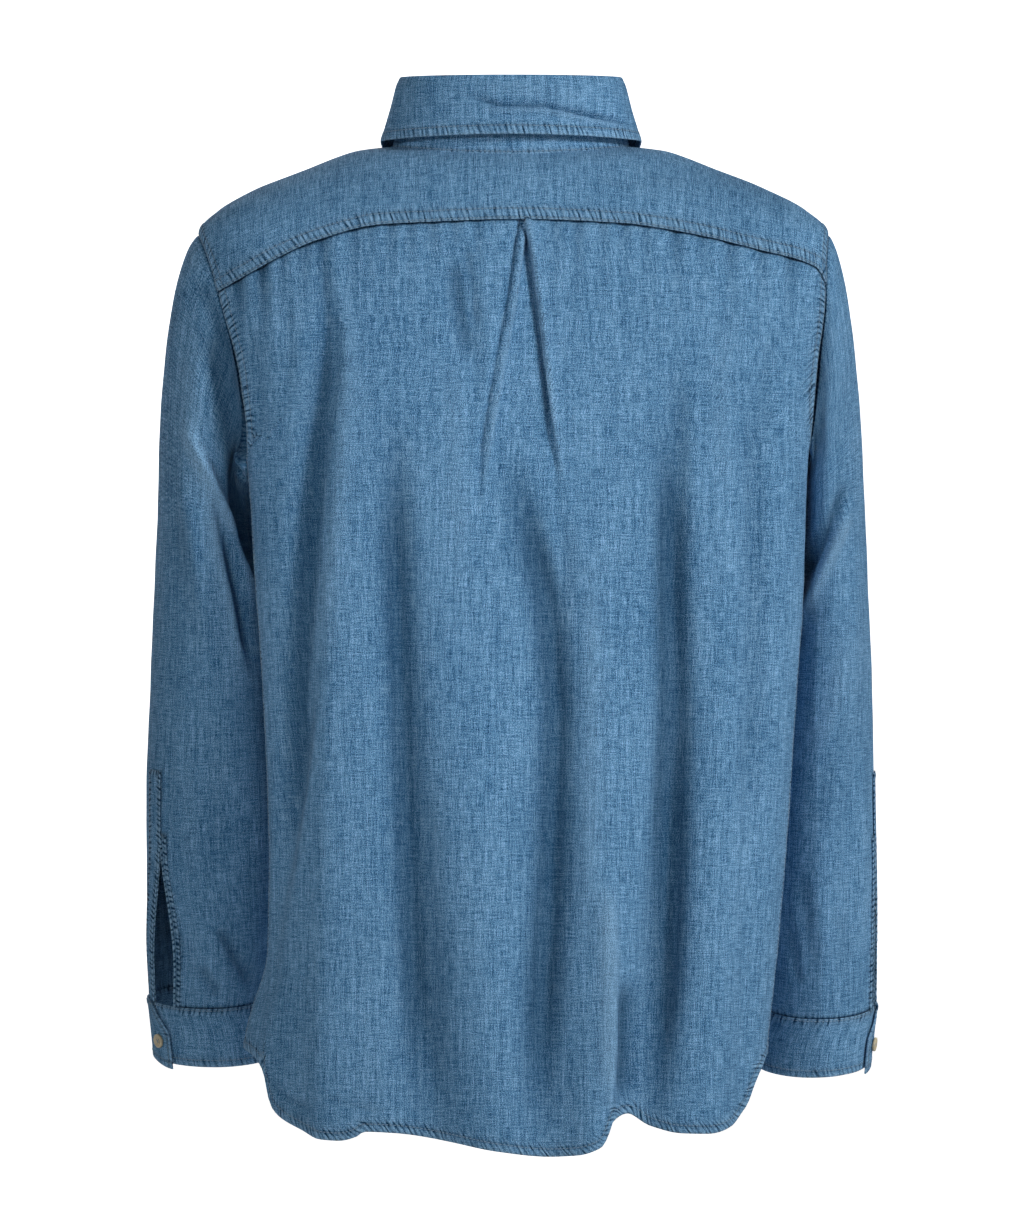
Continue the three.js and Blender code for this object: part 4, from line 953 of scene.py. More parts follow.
def arm_point(side, height, angle, creased=True):
    """A sleeve's ellipse at a height, angle 0 outermost and π/2 behind, its creases sunk in."""
    rings = SLEEVE_RINGS[side]
    ring = curve_through(-rings[:, 0], rings[:, 1:], -height)
    middle_x, middle_y, across, deep, lean = np.moveaxis(ring, -1, 0)
    outward = 1 if side == "left" else -1
    depth = np.zeros(np.broadcast(height, angle).shape)
    for start, end, turn_top, turn_foot, sink, width in SLEEVE_CREASES[side] if creased else []:
        share = np.clip((height - start) / (end - start), 0, 1)
        line = mix(turn_top, turn_foot, share)
        away = np.arctan2(np.sin(angle - line), np.cos(angle - line))
        depth = depth + sink * np.sin(np.pi * share) * bell(away, width)
    c = np.cos(angle)
    s = np.sin(angle)
    x = middle_x + outward * (across - depth) * c
    y = middle_y + (deep - depth) * s
    return np.stack(np.broadcast_arrays(x, y, height - lean * deep * s), axis=-1)


def cap_points(side, angle, share):
    """One cubic curve from each point of the armhole to the sleeve's first ring."""
    place = armhole_place(side, np.pi / 2 - angle)
    start = body_surface(place[..., 0], place[..., 1])
    end = arm_point(side, SLEEVE_RINGS[side][0, 0], angle)
    under = (1 - np.cos(angle)) / 2
    outward = 1 if side == "left" else -1
    sideways = mix(CAP_OUTWARD[side], CAP_UNDER_OUTWARD, under) * outward
    leave = np.stack(np.broadcast_arrays(sideways, 0.2 * np.sin(angle), -0.62), axis=-1)
    first = start + leave * mix(28, 14, under)[..., None]
    second = end.copy()
    second[..., 2] += mix(95, 12, under)
    second[..., 0] -= outward * mix(CAP_DRAWN_IN[side], 0, under)
    t = share[..., None]
    return (1 - t) ** 3 * start + 3 * (1 - t) ** 2 * t * first + 3 * (1 - t) * t**2 * second + t**3 * end


def slit_angle(side):
    return np.pi / 2 - mix(FRONT_CORNER, YOKE_CORNER[side], SLIT_SHARE[side])


def sleeve_sheet(side):
    first = slit_angle(side)
    across = crowded(176, (0, 0.02, 1.6), (1, 0.02, 1.6))
    down = crowded(184, (0, 0.02, 1.8), (1, 0.02, 1.6))
    angle = first + 2 * np.pi * across[None, :]
    cap_rows = down < CAP_SHARE
    cap = cap_points(side, angle, down[cap_rows, None] / CAP_SHARE)
    place = ((down[~cap_rows] - CAP_SHARE) / (1 - CAP_SHARE) * SLEEVE_ROWS)[:, None]
    rings = SLEEVE_RINGS[side]
    height = mix(rings[0, 0], rings[-1, 0], place / SLEEVE_ROWS)
    spread = SLIT_SPREAD[side] * ease(DIVIDED_ROW, SLEEVE_ROWS - 1, place)
    opened = first + spread + (angle - first) * (1 - spread / np.pi)
    arm = arm_point(side, height, opened)
    points = np.concatenate([cap, arm])
    points[-1, :, 2] -= SEAM_GAP + LAYER_GAP - 0.1
    joined = np.concatenate([np.ones(cap_rows.sum(), bool), place[:, 0] <= DIVIDED_ROW])
    around = np.broadcast_to(angle, points.shape[:2])
    weave = np.stack([(around - np.pi) * 52, -arc_along(points[:, 40])[:, None] + 0 * around], axis=-1)
    if side == "right":
        points, around, weave = points[:, ::-1], around[:, ::-1], weave[:, ::-1]
    sheet = Sheet(points, weave, joined)
    facing = sheet.normals(points)[..., 1]
    sheet.crease(SLEEVE_BACK_CREASES[side], ease(-0.1, 0.35, facing))
    sheet.crease(SLEEVE_FORE_CREASES[side], ease(-0.1, 0.35, -facing))
    sheet.relief += 0.5 * undulation(np.sin(around) * 52, points[..., 2], 48, 91)
    distance, along = sheet.from_edge("top")
    sheet.add(tucked(distance, along, 92, depth=0.8, pull=0.35))
    distance, along = sheet.from_edge("bottom")
    sheet.add(tucked(distance, along, 93, depth=0.8, pull=0.4))
    divided = ease(DIVIDED_ROW - 0.4, DIVIDED_ROW, np.where(joined, 0, 99))[:, None]
    for edge, seed in (("left", 94), ("right", 95)):
        distance, along = sheet.from_edge(edge)
        sheet.add(lapped(distance, along, 5, seed, height=0.4, rows=(SLIT_ROW,)), divided)
    beyond = (around - np.pi) * 50
    seam_distance = np.where(beyond >= 0, beyond, 60)
    run = np.broadcast_to(arc_along(points[:, 40])[:, None], around.shape)
    below_cap = ease(0.02, 0.06, down)[:, None]
    sheet.add(lapped(seam_distance, run, 6, 96, height=0.5, rows=SEAM_ROWS), below_cap)
    return sheet


def cuff_sheet(side):
    """A band from its under end behind the slit, round the wrist, to its over end."""
    share = crowded(190, (0, 0.02, 1.2), (1, 0.02, 1.6))[None, :]
    down = crowded(26, (0, 0.1, 1.0), (1, 0.1, 1.0))[:, None]
    foot = SLEEVE_RINGS[side][-1]
    overlap = CUFF_OVERLAP_TURN - CUFF_CORNER_TURN * ease(0.5, 0, down)
    angle = CUFF_START[side] + share * (2 * np.pi + overlap)
    over = (STIFF_WALL + 2 * LAYER_GAP) * ease(0.76, 0.9, share)
    outward = 1 if side == "left" else -1
    points = arm_point(side, foot[0], angle, creased=False)
    points[..., 0] += outward * (over * np.cos(angle) - CUFF_INWARD[side] * down)
    points[..., 1] += over * np.sin(angle) - CUFF_HEIGHT * foot[5] * down
    points[..., 2] -= SEAM_GAP + LAYER_GAP + CUFF_HEIGHT * down + CUFF_END_DROP * ease(0.9, 1, share) * down
    if side == "right":
        points = points[:, ::-1]
    sheet = Sheet(points, own_weave(points))
    sheet.relief += 0.35 * undulation(points[..., 0] + points[..., 1], points[..., 2], 30, 101)
    distance, along = sheet.from_edge("top")
    sheet.add(lapped(distance, along, 4, 102, height=0.5, rows=(CUFF_TOP_ROW,)))
    distance, along = sheet.from_edge("bottom")
    sheet.add(lapped(distance, along, 6.4, 103, height=0.25, rows=(CUFF_FOOT_ROW,), pull=0.3))
    for edge, seed in (("left", 104), ("right", 105)):
        distance, along = sheet.from_edge(edge)
        sheet.add(lapped(distance, along, 4, seed, height=0.25, rows=(CUFF_END_ROW,), pull=0.25))
    return sheet


def strip_sheet(side, sleeve, part):
    """A strip on an edge of the slit: columns of the sleeve's own grid from above the slit down,
    moved out by its own wall."""
    points = sleeve.base + sleeve.normals(sleeve.base) * (LAYER_GAP + PLACKET_WALL)
    first_open = int(np.argmin(sleeve.joined))
    over_side = part == "sleeve_placket"
    start = first_open - (16 if over_side else 0)
    count = 13 if over_side else 7
    at_end = (side == "left") == over_side
    columns = slice(-count - 1, None) if at_end else slice(0, count + 1)
    points = points[start:, columns]
    sheet = Sheet(points, own_weave(points))
    for edge, seed in (("left", 111), ("right", 112), ("top", 113)):
        distance, along = sheet.from_edge(edge)
        sheet.add(lapped(distance, along, 3, seed, height=0.2, rows=(STRIP_ROW,), pull=0.7))
    return sheet


def add_mesh(name, vertices, faces, material):
    mesh = bpy.data.meshes.new(name)
    mesh.from_pydata((vertices * MM).tolist(), [], faces.tolist())
    mesh.polygons.foreach_set("use_smooth", np.ones(len(mesh.polygons), bool))
    mesh.materials.append(material)
    mesh.update()
    piece = bpy.data.objects.new(name, mesh)
    bpy.context.scene.collection.objects.link(piece)
    return piece


def quads(index):
    """The four-cornered faces of a grid of point numbers."""
    corners = [index[:-1, :-1], index[1:, :-1], index[1:, 1:], index[:-1, 1:]]
    return np.stack(corners, axis=-1).reshape(-1, 4)


def cloth_piece(name, sheet, thickness, material):
    """The sheet's grid as a mesh, with its weave and its seams as UV maps and its tints as
    attributes, and the wall given to it by Solidify."""
    rows, columns = sheet.base.shape[:2]
    index = np.arange(rows * columns).reshape(rows, columns)
    own = quads(index)
    index[sheet.joined, -1] = index[sheet.joined, 0]
    met = quads(index)
    used, faces = np.unique(met, return_inverse=True)
    points = sheet.shape().reshape(-1, 3)
    piece = add_mesh(name, points[used], faces.reshape(-1, 4), material)
    mesh = piece.data
    for layer_name, places in (("weave", sheet.weave), ("seam", sheet.seam)):
        layer = mesh.uv_layers.new(name=layer_name)
        layer.data.foreach_set("uv", (places.reshape(-1, 2)[own.ravel()] * MM).ravel())
    for tint in ("wear", "shade", "pucker"):
        layer = mesh.attributes.new(tint, "FLOAT", "POINT")
        layer.data.foreach_set("value", getattr(sheet, tint).reshape(-1)[used])
    wall = piece.modifiers.new("wall", "SOLIDIFY")
    wall.thickness = thickness * MM
    wall.offset = -1
    return piece


# A stitch: two tips and two four-point rings, as (along, side, up) shares of its half sizes
STITCH_POINTS = np.array([
    (-1, 0, -0.2),
    (-0.6, 1, 0), (-0.6, 0, 1), (-0.6, -1, 0), (-0.6, 0, -0.6),
    (0.6, 1, 0), (0.6, 0, 1), (0.6, -1, 0), (0.6, 0, -0.6),
    (1, 0, -0.2),
])
STITCH_FACES = np.array([
    (0, 1, 2), (0, 2, 3), (0, 3, 4), (0, 4, 1),
    (1, 5, 6), (1, 6, 2), (2, 6, 7), (2, 7, 3), (3, 7, 8), (3, 8, 4), (4, 8, 5), (4, 5, 1),
    (9, 6, 5), (9, 7, 6), (9, 8, 7), (9, 5, 8),
])


def stitches_along(path, facing, pitch=3.0, length=2.3):
    """Even stitches along a path: its middle points, directions and normals."""
    run = arc_along(path)
    count = max(int(run[-1] / pitch), 1)
    middles = (np.arange(count) + 0.5) * run[-1] / count

    def at(distances):
        return np.stack([np.interp(distances, run, path[:, k]) for k in range(3)], axis=-1)

    normal = np.stack([np.interp(middles, run, facing[:, k]) for k in range(3)], axis=-1)
    ahead = unit(at(middles + length / 2) - at(middles - length / 2))
    return at(middles), ahead, unit(normal), np.full(count, length / 2)


def stitched_piece(name, runs, material, thread=0.3):
    """All the stitches of some runs as one mesh: middle + along·half length + side·radius + up."""
    middle, ahead, normal, half = (np.concatenate(parts) for parts in zip(*runs))
    sideways = unit(np.cross(normal, ahead))
    upward = np.cross(ahead, sideways)
    shape = STITCH_POINTS
    points = (
        middle[:, None]
        + ahead[:, None] * (shape[:, 0] * half[:, None])[..., None]
        + sideways[:, None] * (shape[:, 1] * thread)[None, :, None]
        + upward[:, None] * (shape[:, 2] * thread)[None, :, None]
    )
    faces = STITCH_FACES[None] + 10 * np.arange(len(middle))[:, None, None]
    return add_mesh(name, points.reshape(-1, 3), faces.reshape(-1, 3), material)


# Half section of a button from its middle over the rim and back under: radius, height
BUTTON_SECTION = np.array([
    (0.35, 0.55), (0.7, 0.55), (1.0, 0.55), (1.3, 0.55), (1.6, 0.55), (1.9, 0.56), (2.2, 0.58), (2.6, 0.62),
    (3.1, 0.7), (3.5, 0.86), (3.9, 1.08), (4.3, 1.22), (4.8, 1.3), (5.2, 1.2), (5.48, 0.9), (5.6, 0.4),
    (5.58, -0.3), (5.3, -0.8), (4.6, -1.1), (3.2, -1.28), (1.6, -1.3),
])
BUTTON_SIDES = 40
HOLE_PLACES = 1.45  # x and y of the four holes
HOLE_RADIUS = 0.8


def facing_frame(normal):
    """Three square directions: across, up and the normal itself."""
    across = unit(np.cross((0.0, 0.0, 1.0), normal))
    return across, np.cross(normal, across), normal


def button_piece(name, middle, normal, material):
    """A section turned round the normal; its four holes are sunk into its face."""
    turn = np.linspace(0, 2 * np.pi, BUTTON_SIDES, endpoint=False)
    radius = BUTTON_SECTION[:, :1] * np.ones(BUTTON_SIDES)
    height = BUTTON_SECTION[:, 1:] * np.ones(BUTTON_SIDES)
    x = radius * np.cos(turn)
    y = radius * np.sin(turn)
    top = height > 0
    for sign_x in (-1, 1):
        for sign_y in (-1, 1):
            gap = np.hypot(x - sign_x * HOLE_PLACES, y - sign_y * HOLE_PLACES)
            height = height - np.where(top, 1.1 * ease(HOLE_RADIUS, HOLE_RADIUS * 0.45, gap), 0)
    local = np.stack([x, y, height], axis=-1).reshape(-1, 3)
    local = np.concatenate([local, [(0, 0, 0.55), (0, 0, -1.3)]])
    across, up, out = facing_frame(normal)
    points = middle + local[:, :1] * across + local[:, 1:2] * up + local[:, 2:] * out
    rings = len(BUTTON_SECTION)
    index = np.arange(rings * BUTTON_SIDES).reshape(rings, BUTTON_SIDES)
    after = np.roll(index, -1, axis=1)
    walls = np.stack([index[:-1], index[1:], after[1:], after[:-1]], axis=-1).reshape(-1, 4)
    walls = np.concatenate([walls[:, [0, 1, 2]], walls[:, [0, 2, 3]]])
    top_fan = np.stack([np.full(BUTTON_SIDES, rings * BUTTON_SIDES), index[0], after[0]], axis=-1)
    under_fan = np.stack([np.full(BUTTON_SIDES, rings * BUTTON_SIDES + 1), after[-1], index[-1]], axis=-1)
    return add_mesh(name, points, np.concatenate([walls, top_fan, under_fan]), material)


def button_threads(middle, normal):
    """Two threads that cross between the four holes."""
    across, up, out = facing_frame(normal)
    ends = [unit(across + up), unit(across - up)]
    middles = np.array([middle + out * 0.62, middle + out * 0.95])
    return middles, np.array(ends), np.array([out, out]), np.full(2, 2.3)


def buttonhole(path, facing, middle, half_length=8.5):
    """Close cross stitches down both sides of the slit under a button."""
    runs = []
    spread = np.abs(path[:, 2] - middle[2]) < half_length
    line, out = path[spread], facing[spread]
    run = arc_along(line)
    for offset in (-1.1, 1.1):
        places = np.arange(0.3, run[-1], 0.62)
        middles = np.stack([np.interp(places, run, line[:, k]) for k in range(3)], axis=-1)
        normal = unit(np.stack([np.interp(places, run, out[:, k]) for k in range(3)], axis=-1))
        ahead = unit(np.cross(normal, np.broadcast_to((0.0, 0.0, 1.0), normal.shape)))
        runs.append((middles + ahead * offset, ahead, normal, np.full(len(places), 0.9)))
    return runs


class Value:
    """A number in a material: sums and products of Values add their own Math nodes."""

    def __init__(self, finish, socket):
        self.finish = finish
        self.socket = socket

    def joined_with(self, operation, first, second):
        node = self.finish.add("ShaderNodeMath", {"operation": operation}, {0: first, 1: second})
        return Value(self.finish, node.outputs[0])

    def __add__(self, other):
        return self.joined_with("ADD", self, other)

    def __sub__(self, other):
        return self.joined_with("SUBTRACT", self, other)

    def __rsub__(self, other):
        return self.joined_with("SUBTRACT", other, self)

    def __mul__(self, other):
        return self.joined_with("MULTIPLY", self, other)

    __radd__ = __add__
    __rmul__ = __mul__

    def above_zero(self):
        return self.joined_with("MAXIMUM", self, 0.0)


class Finish:
    """A material and the one way in which its nodes are made."""

    def __init__(self, name):
        self.material = bpy.data.materials.new(name)
        self.material.use_nodes = True
        self.tree = self.material.node_tree
        self.shader = self.tree.nodes["Principled BSDF"]

    def add(self, kind, settings=None, sockets=None):
        node = self.tree.nodes.new(kind)
        for key, value in (settings or {}).items():
            if key == "stops":
                self.set_stops(node.color_ramp, value)
            else:
                setattr(node, key, value)
        for key, value in (sockets or {}).items():
            self.feed(node.inputs[key], value)
        return node

    def set_stops(self, ramp, stops):
        while len(ramp.elements) < len(stops):
            ramp.elements.new(0.5)
        for element, (place, color) in zip(ramp.elements, stops):
            element.position = place
            element.color = (*color, 1)

    def feed(self, socket, value):
        if isinstance(value, Value):
            value = value.socket
        if isinstance(value, bpy.types.NodeSocket):
            self.tree.links.new(value, socket)
        else:
            socket.default_value = value

    def number(self, kind, settings, sockets, output=0):
        return Value(self, self.add(kind, settings, sockets).outputs[output])

    def blend(self, share, first, second):
        """A mix of two colours: the node's sockets 6 and 7 are its colour inputs."""
        node = self.add("ShaderNodeMix", {"data_type": "RGBA"}, {0: share, 6: first, 7: second})
        return node.outputs[2]

    def attribute(self, name):
        return Value(self, self.add("ShaderNodeAttribute", {"attribute_name": name}).outputs["Fac"])

    def noise(self, vector, across, down, detail=1.5, roughness=0.5):
        """Noise in cells of 1/across by 1/down metres of the weave."""
        stretched = self.add(
            "ShaderNodeVectorMath", {"operation": "MULTIPLY"}, {0: vector, 1: (across, down, 1.0)}
        ).outputs[0]
        sockets = {"Vector": stretched, "Scale": 1.0, "Detail": detail, "Roughness": roughness}
        return self.number("ShaderNodeTexNoise", {"noise_dimensions": "2D"}, sockets)

    def surface(self, **sockets):
        for key, value in sockets.items():
            self.feed(self.shader.inputs[key.replace("_", " ")], value)


DENIM_DARK = (0.009, 0.052, 0.132)
DENIM_MIDDLE = (0.092, 0.256, 0.462)
DENIM_LIGHT = (0.34, 0.59, 0.85)
# The pale blue of wear and painted highlight, and the deep blue of painted shade
DENIM_WEAR_AND_HIGHLIGHT = (0.31, 0.52, 0.73)
DENIM_SHADE = (0.005, 0.038, 0.092)
THREAD_BLUE = (0.30, 0.46, 0.62)
BUTTON_CREAM = (0.70, 0.60, 0.40)


RIPPLES_PER_METRE = 2 * np.pi / 0.0043  # as an angle: one pucker every 4.3 mm of a seam
PUCKER_DEPTH = 0.62


def denim(name, tone=0.0):
    """Chambray denim: pale and indigo yarns crossing, streaked down and across by their uneven
    thickness, paler at seam edges partly for wear and partly as painted highlight, paler on crests
    as painted highlight, and darker in grooves, creases and gathers as painted shade. Puckers are
    even waves along a seam that sway and come and go; their crests get painted highlight and
    their troughs painted shade."""
    finish = Finish(name)
    weave = finish.add("ShaderNodeUVMap", {"uv_map": "weave"}).outputs[0]
    seam = finish.add("ShaderNodeUVMap", {"uv_map": "seam"}).outputs[0]
    warp = finish.noise(weave, 1250, 70, 2.0, 0.65) - 0.5
    weft = finish.noise(weave, 95, 1250, 2.0, 0.65) - 0.5
    grain = finish.noise(weave, 1500, 1500, 0.0, 0.5) - 0.5
    slub = finish.noise(weave, 330, 12, 2.0, 0.5) - 0.5
    cross_slub = finish.noise(weave, 18, 520, 2.0, 0.5) - 0.5
    fade = finish.noise(weave, 13, 9, 2.0, 0.55) - 0.5
    yarns = warp * 1.05 + weft * 0.85 + grain * 1.3 + slub * 0.42 + cross_slub * 0.26 + fade * 0.2
    run = finish.number("ShaderNodeSeparateXYZ", {}, {0: seam})
    sway = finish.noise(seam, 130, 40, 1.0, 0.5)
    wave = run * RIPPLES_PER_METRE + sway * 8.0
    ripples = finish.number("ShaderNodeMath", {"operation": "SINE"}, {0: wave})
    strength = finish.noise(seam, 240, 90, 1.0, 0.5)
    pull = ripples * strength * strength * PUCKER_DEPTH * finish.attribute("pucker")
    stops = [(0.0, DENIM_DARK), (0.5, DENIM_MIDDLE), (1.0, DENIM_LIGHT)]
    base = finish.add("ShaderNodeValToRGB", {"stops": stops}, {"Fac": yarns + (0.5 + tone)}).outputs[0]
    wear = finish.attribute("wear")
    shade = finish.attribute("shade")
    # Pale share: wear and painted highlight from the attribute, and painted highlight on pucker crests
    rubbed_and_lit = wear * (grain * 1.2 + 0.5) + (pull * 2.2).above_zero()
    worn_and_lit = finish.blend(rubbed_and_lit, base, (*DENIM_WEAR_AND_HIGHLIGHT, 1))
    # Painted shade: the shade attribute and the pucker troughs
    sunk = shade * 0.85 + (pull * -3.4).above_zero()
    color = finish.blend(sunk, worn_and_lit, (*DENIM_SHADE, 1))
    height = warp * 0.5 + weft * 0.5 + grain * 0.9 + pull * 3.4
    bump = finish.add("ShaderNodeBump", {}, {"Strength": 0.55, "Distance": 0.0006, "Height": height})
    finish.surface(
        Base_Color=color,
        Roughness=0.88 - yarns * 0.12,
        Normal=bump.outputs[0],
        Sheen_Weight=0.04,
        Sheen_Roughness=0.5,
        Specular_IOR_Level=0.1,
    )
    return finish.material


def thread(name, color):
    finish = Finish(name)
    place = finish.add("ShaderNodeTexCoord").outputs["Object"]
    sockets = {"Vector": place, "Scale": 900.0, "Detail": 1.0}
    twist = finish.number("ShaderNodeTexNoise", {}, sockets)
    dark = tuple(0.55 * part for part in color)
    finish.surface(Base_Color=finish.blend(twist, (*dark, 1), (*color, 1)), Roughness=0.6 + twist * 0.25)
    return finish.material


def polished_cream(name):
    finish = Finish(name)
    place = finish.add("ShaderNodeTexCoord").outputs["Object"]
    sockets = {"Vector": place, "Scale": 260.0, "Detail": 2.0, "Distortion": 1.2}
    cloud = finish.number("ShaderNodeTexNoise", {}, sockets)
    dark = tuple(0.72 * part for part in BUTTON_CREAM)
    finish.surface(
        Base_Color=finish.blend(cloud, (*dark, 1), (*BUTTON_CREAM, 1)),
        Roughness=0.24 + cloud * 0.2,
        Coat_Weight=0.25,
    )
    return finish.material


def plain_pale(name):
    """Pale matt floor that glows far behind the object and, along both axes, far from it."""
    finish = Finish(name)
    place = finish.add("ShaderNodeTexCoord").outputs["Object"]
    parts = finish.add("ShaderNodeSeparateXYZ", {}, {0: place}).outputs

    def smooth(value, low, high):
        sockets = {"Value": value, "From Min": low, "From Max": high, "To Min": 0.0, "To Max": 1.0}
        return finish.number("ShaderNodeMapRange", {"interpolation_type": "SMOOTHSTEP"}, sockets)

    aside = finish.number("ShaderNodeMath", {"operation": "ABSOLUTE"}, {0: parts[0]})
    away = finish.number("ShaderNodeMath", {"operation": "ABSOLUTE"}, {0: parts[1]})
    on_axis = (smooth(aside, 2.6, 1.2) + smooth(away, 2.6, 1.2)) * smooth(parts[2], 2.4, 0.9)
    on_wall = smooth(aside, 4.0, 6.5) + smooth(away, 4.0, 6.5)
    behind = smooth(parts[1], -1.0, -1.8) * smooth(aside, 2.6, 1.2)
    glow = behind * smooth(parts[2], 2.4, 0.9) + on_axis * on_wall
    finish.surface(
        Base_Color=(0.9, 0.9, 0.9, 1),
        Roughness=0.9,
        Emission_Color=finish.blend(glow, (0, 0, 0, 1), (1, 1, 1, 1)),
        Emission_Strength=1.0,
    )
    return finish.material


body_denim = denim("body_denim")
collar_denim = denim("collar_denim", 0.015)
blue_thread = thread("blue_thread", THREAD_BLUE)
cream = polished_cream("cream_button")


def dress(name, sheet, node, flat, area, rests_on, thickness=CLOTH, slot="denim", held="hung"):
    piece = cloth_piece(name, sheet, thickness, collar_denim if slot == "collar_denim" else body_denim)
    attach(piece, "root")
    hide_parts(node)
    return piece


yoke = yoke_sheet()
back = back_sheet()
fronts = {side: front_sheet(side) for side in SIDES}
placket = placket_sheet()
stand = stand_sheet()
fall = fall_sheet()
sleeves = {side: sleeve_sheet(side) for side in SIDES}
cuffs = {side: cuff_sheet(side) for side in SIDES}

dress("shoulder_yoke", yoke, "yoke", (0.56, 0.20), 0.062, ["collar_stand"])
dress("back_panel", back, "back", (0.62, 0.76), 0.36, ["shoulder_yoke"])
stiff = (STIFF_CLOTH, "collar_denim")
strips = {"sleeve_placket": ((0.022, 0.17), 0.0031), "sleeve_binding": ((0.010, 0.13), 0.00095)}
for side in SIDES:
    carrier = [f"{side}_sleeve"]
    dress(f"{side}_front", fronts[side], f"front_{side}", (0.34, 0.80), 0.22, ["shoulder_yoke"])
    dress(f"{side}_sleeve", sleeves[side], f"sleeve_{side}", (0.46, 0.62), 0.175, ["shoulder_yoke"])
    dress(f"{side}_cuff", cuffs[side], f"cuff_{side}", (0.29, 0.048), 0.0132, carrier, *stiff)
    for part, (size, area) in strips.items():
        strip = strip_sheet(side, sleeves[side], part)
        dress(f"{side}_{part}_strip", strip, f"{part}_{side}", size, area, carrier, STRIP_CLOTH)
dress("button_band", placket, "placket_left", (0.034, 0.72), None, ["left_front"], STRIP_CLOTH)
dress("collar_band", stand, "collar_stand", (0.49, 0.045), None, ["shoulder_yoke"], *stiff)
dress("collar_leaf", fall, "collar_fall", (0.56, 0.08), 0.037, ["collar_band"], *stiff, "folded")

runs = {"body": [], "sleeve": [], "collar": []}

# Shares along an edge at which its kind of seam changes
BACK_SEAM_START = 0.58
FRONT_SEAM_START = 0.7
LEAF_END_START = 0.55


def sew(group, sheet, edge, *distances, start=0.0, end=1.0):
    for distance in distances:
        path, facing = sheet.line(edge, distance, start, end, out=0.1)
        runs[group].append(stitches_along(path, facing))


sew("body", yoke, "bottom", *YOKE_ROWS)
for edge in SIDES:
    sew("body", yoke, edge, *ARMHOLE_ROWS)
sew("body", yoke, "top", *SHOULDER_ROWS, end=0.25)
sew("body", yoke, "top", *SHOULDER_ROWS, start=0.75)
for edge in SIDES:
    sew("body", back, edge, *ARMHOLE_ROWS, end=BACK_SEAM_START)
    sew("body", back, edge, *SEAM_ROWS, start=BACK_SEAM_START)
for side, edge in (("left", "right"), ("right", "left")):
    sew("body", fronts[side], edge, *ARMHOLE_ROWS, end=FRONT_SEAM_START)
    sew("body", fronts[side], edge, *SEAM_ROWS, start=FRONT_SEAM_START)
    sew("body", fronts[side], "bottom", HEM_ROW)
    sew("sleeve", cuffs[side], "top", CUFF_TOP_ROW)
    sew("sleeve", cuffs[side], "bottom", CUFF_FOOT_ROW)
    sew("sleeve", cuffs[side], "left", CUFF_END_ROW)
    sew("sleeve", cuffs[side], "right", CUFF_END_ROW)
sew("body", back, "bottom", HEM_ROW)
for edge in SIDES:
    sew("body", placket, edge, BAND_ROW)
sew("collar", stand, "bottom", STAND_ROW)
sew("collar", fall, "bottom", LEAF_ROW)
for edge in SIDES:
    sew("collar", fall, edge, LEAF_ROW, start=LEAF_END_START)

thread_runs = []
placket_path, placket_facing = placket.line("left", PLACKET_WIDTH / 2, out=0.1)
buttons = {f"button_{i}": i for i in range(8)}
for node in [*buttons, "cuff_button_left", "cuff_button_right"]:
    low, high = (np.array(corner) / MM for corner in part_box(node))
    middle = (low + high) / 2
    if node.startswith("cuff"):
        sheet = cuffs[node.split("_")[-1]]
    else:
        sheet = stand if node == "button_0" else placket
    shape = sheet.shape().reshape(-1, 3)
    nearest = np.argmin(np.linalg.norm(shape - middle, axis=1))
    normal = sheet.normals(sheet.base).reshape(-1, 3)[nearest]
    piece = button_piece(f"{node}_dressed", middle, normal, cream)
    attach(piece, "root")
    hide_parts(node)
    thread_runs.append(button_threads(middle, normal))
    if node in buttons and node != "button_0":
        runs["body"] += buttonhole(placket_path, placket_facing, middle)

for group, parts in runs.items():
    piece = stitched_piece(f"{group}_stitches", parts, blue_thread)
    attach(piece, "root")
piece = stitched_piece("button_threads", thread_runs, blue_thread, thread=0.34)
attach(piece, "root")


# The round studio, in metres
FLOOR_HEIGHT = -0.92
FLOOR_RADII = [0.01, 4.0, 9.0]
WALL_RADIUS = 14.5
WALL_HEIGHT = 6.0
BEND_RADIUS = 1.5


def stage_sweep():
    """A round floor that curves up into a wall: one profile turned round the object."""
    bend = np.linspace(0, np.pi / 2, 13)
    foot = WALL_RADIUS - BEND_RADIUS
    radius = np.concatenate([FLOOR_RADII, foot + BEND_RADIUS * np.sin(bend), [WALL_RADIUS]])
    rise = np.concatenate([np.zeros(len(FLOOR_RADII)), BEND_RADIUS * (1 - np.cos(bend)), [WALL_HEIGHT]])
    height = rise + FLOOR_HEIGHT
    turn = np.linspace(0, 2 * np.pi, 97)
    across = radius[:, None] * np.cos(turn)
    away = radius[:, None] * np.sin(turn)
    points = np.stack([across, away, np.broadcast_to(height[:, None], across.shape)], axis=-1)
    index = np.arange(across.size).reshape(across.shape)
    piece = add_mesh("floor", points.reshape(-1, 3) / MM, quads(index), plain_pale("pale_floor"))


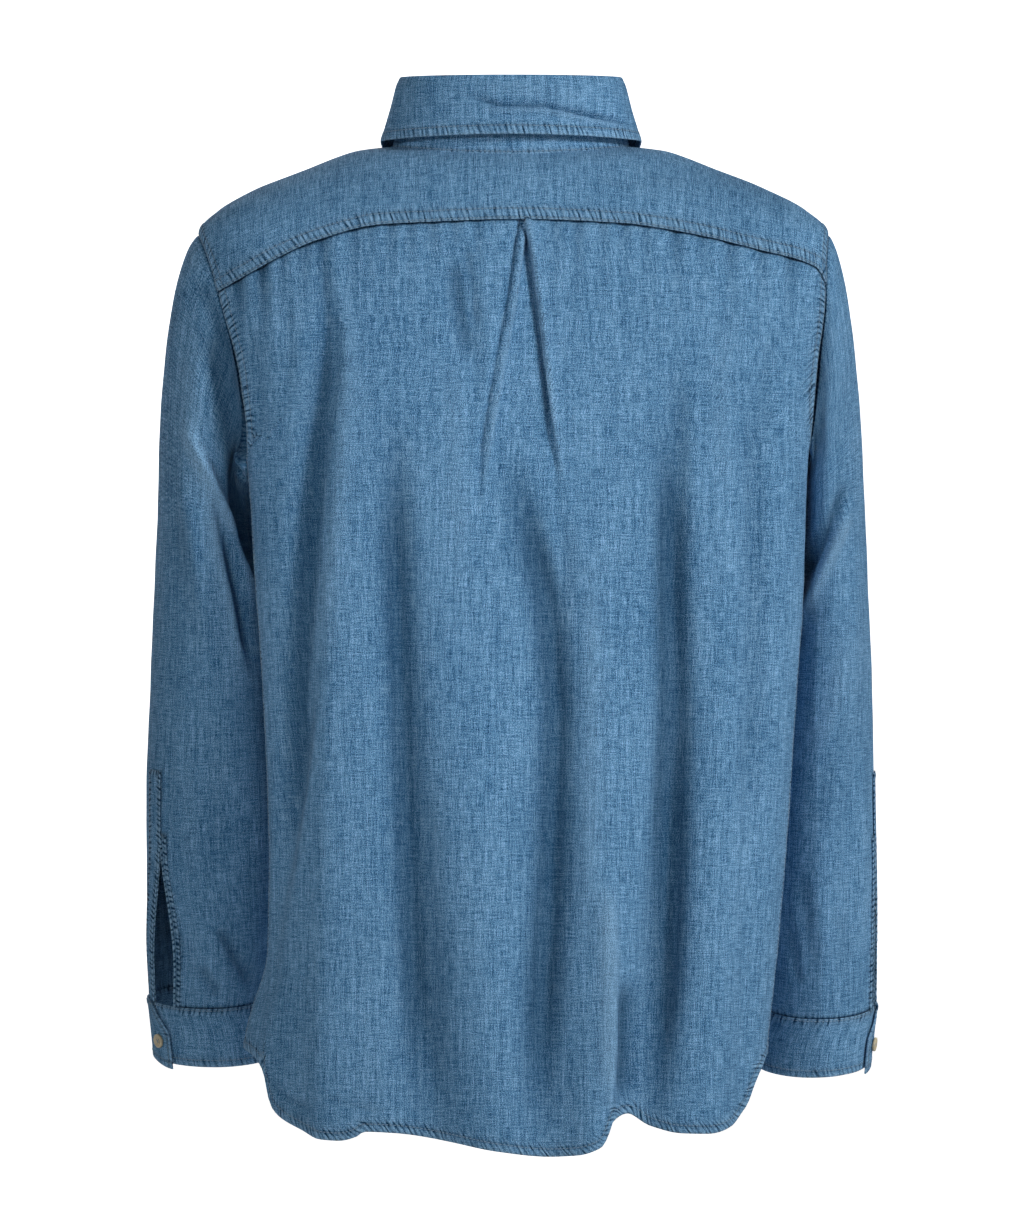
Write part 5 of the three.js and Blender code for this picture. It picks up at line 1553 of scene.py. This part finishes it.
def aimed_light(name, kind, place, aim, power):
    data = bpy.data.lights.new(name, kind)
    data.energy = power
    light = bpy.data.objects.new(name, data)
    light.location = place
    light.rotation_euler = (Vector(aim) - Vector(place)).to_track_quat("-Z", "Y").to_euler()
    bpy.context.scene.collection.objects.link(light)
    return data


def area_light(name, place, height, size, power):
    """A square lamp turned to the shirt's middle at a height."""
    aimed_light(name, "AREA", place, (0, 0, height), power).size = size


def spot_light(height, power):
    """A soft lamp whose light fades from the middle of its cone to the rim."""
    data = aimed_light(f"spot_at_{-height:.2f}", "SPOT", SPOT_PLACE, (0.02, 0, height), power)
    data.spot_size = np.radians(SPOT_DEGREES)
    data.spot_blend = 1.0
    data.shadow_soft_size = SPOT_SOFTNESS


# The spots stand together and light the back at three heights: height, power
SPOT_PLACE = (1.6, 4.4, 1.3)
SPOT_DEGREES = 5.4
SPOT_SOFTNESS = 0.3
SPOTS = [(-0.07, 560), (-0.35, 440), (-0.64, 480)]

stage_sweep()
area_light("key", (-4.1, 3.0, 2.3), -0.35, 0.8, 175)
area_light("fill", (1.0, 4.8, 2.4), -0.4, 1.4, 9)
for height, power in SPOTS:
    spot_light(height, power)
area_light("front_fill", (0.8, -3.0, 1.2), -0.4, 2.0, 40)

world = bpy.data.worlds.new("studio")
world.use_nodes = True
world.node_tree.nodes["Background"].inputs["Color"].default_value = (1, 1, 1, 1)
world.node_tree.nodes["Background"].inputs["Strength"].default_value = 0.02
bpy.context.scene.world = world
bpy.context.scene.view_settings.view_transform = "Standard"

# The picture's frame is 0.96 m high at the back's nearest cloth, SENSOR the film's height in mm
CAMERA_DISTANCE = 12.0
FRAME_HEIGHT = 0.960
SENSOR = 24
camera_data = bpy.data.cameras.new("camera")
camera_data.sensor_fit = "VERTICAL"
camera_data.sensor_height = SENSOR
camera_data.lens = SENSOR * (CAMERA_DISTANCE - 0.01) / FRAME_HEIGHT
camera = bpy.data.objects.new("camera", camera_data)
camera.location = (-0.0008, CAMERA_DISTANCE, -0.363)
camera.rotation_euler = (np.pi / 2, 0, np.pi)
bpy.context.scene.collection.objects.link(camera)
bpy.context.scene.camera = camera
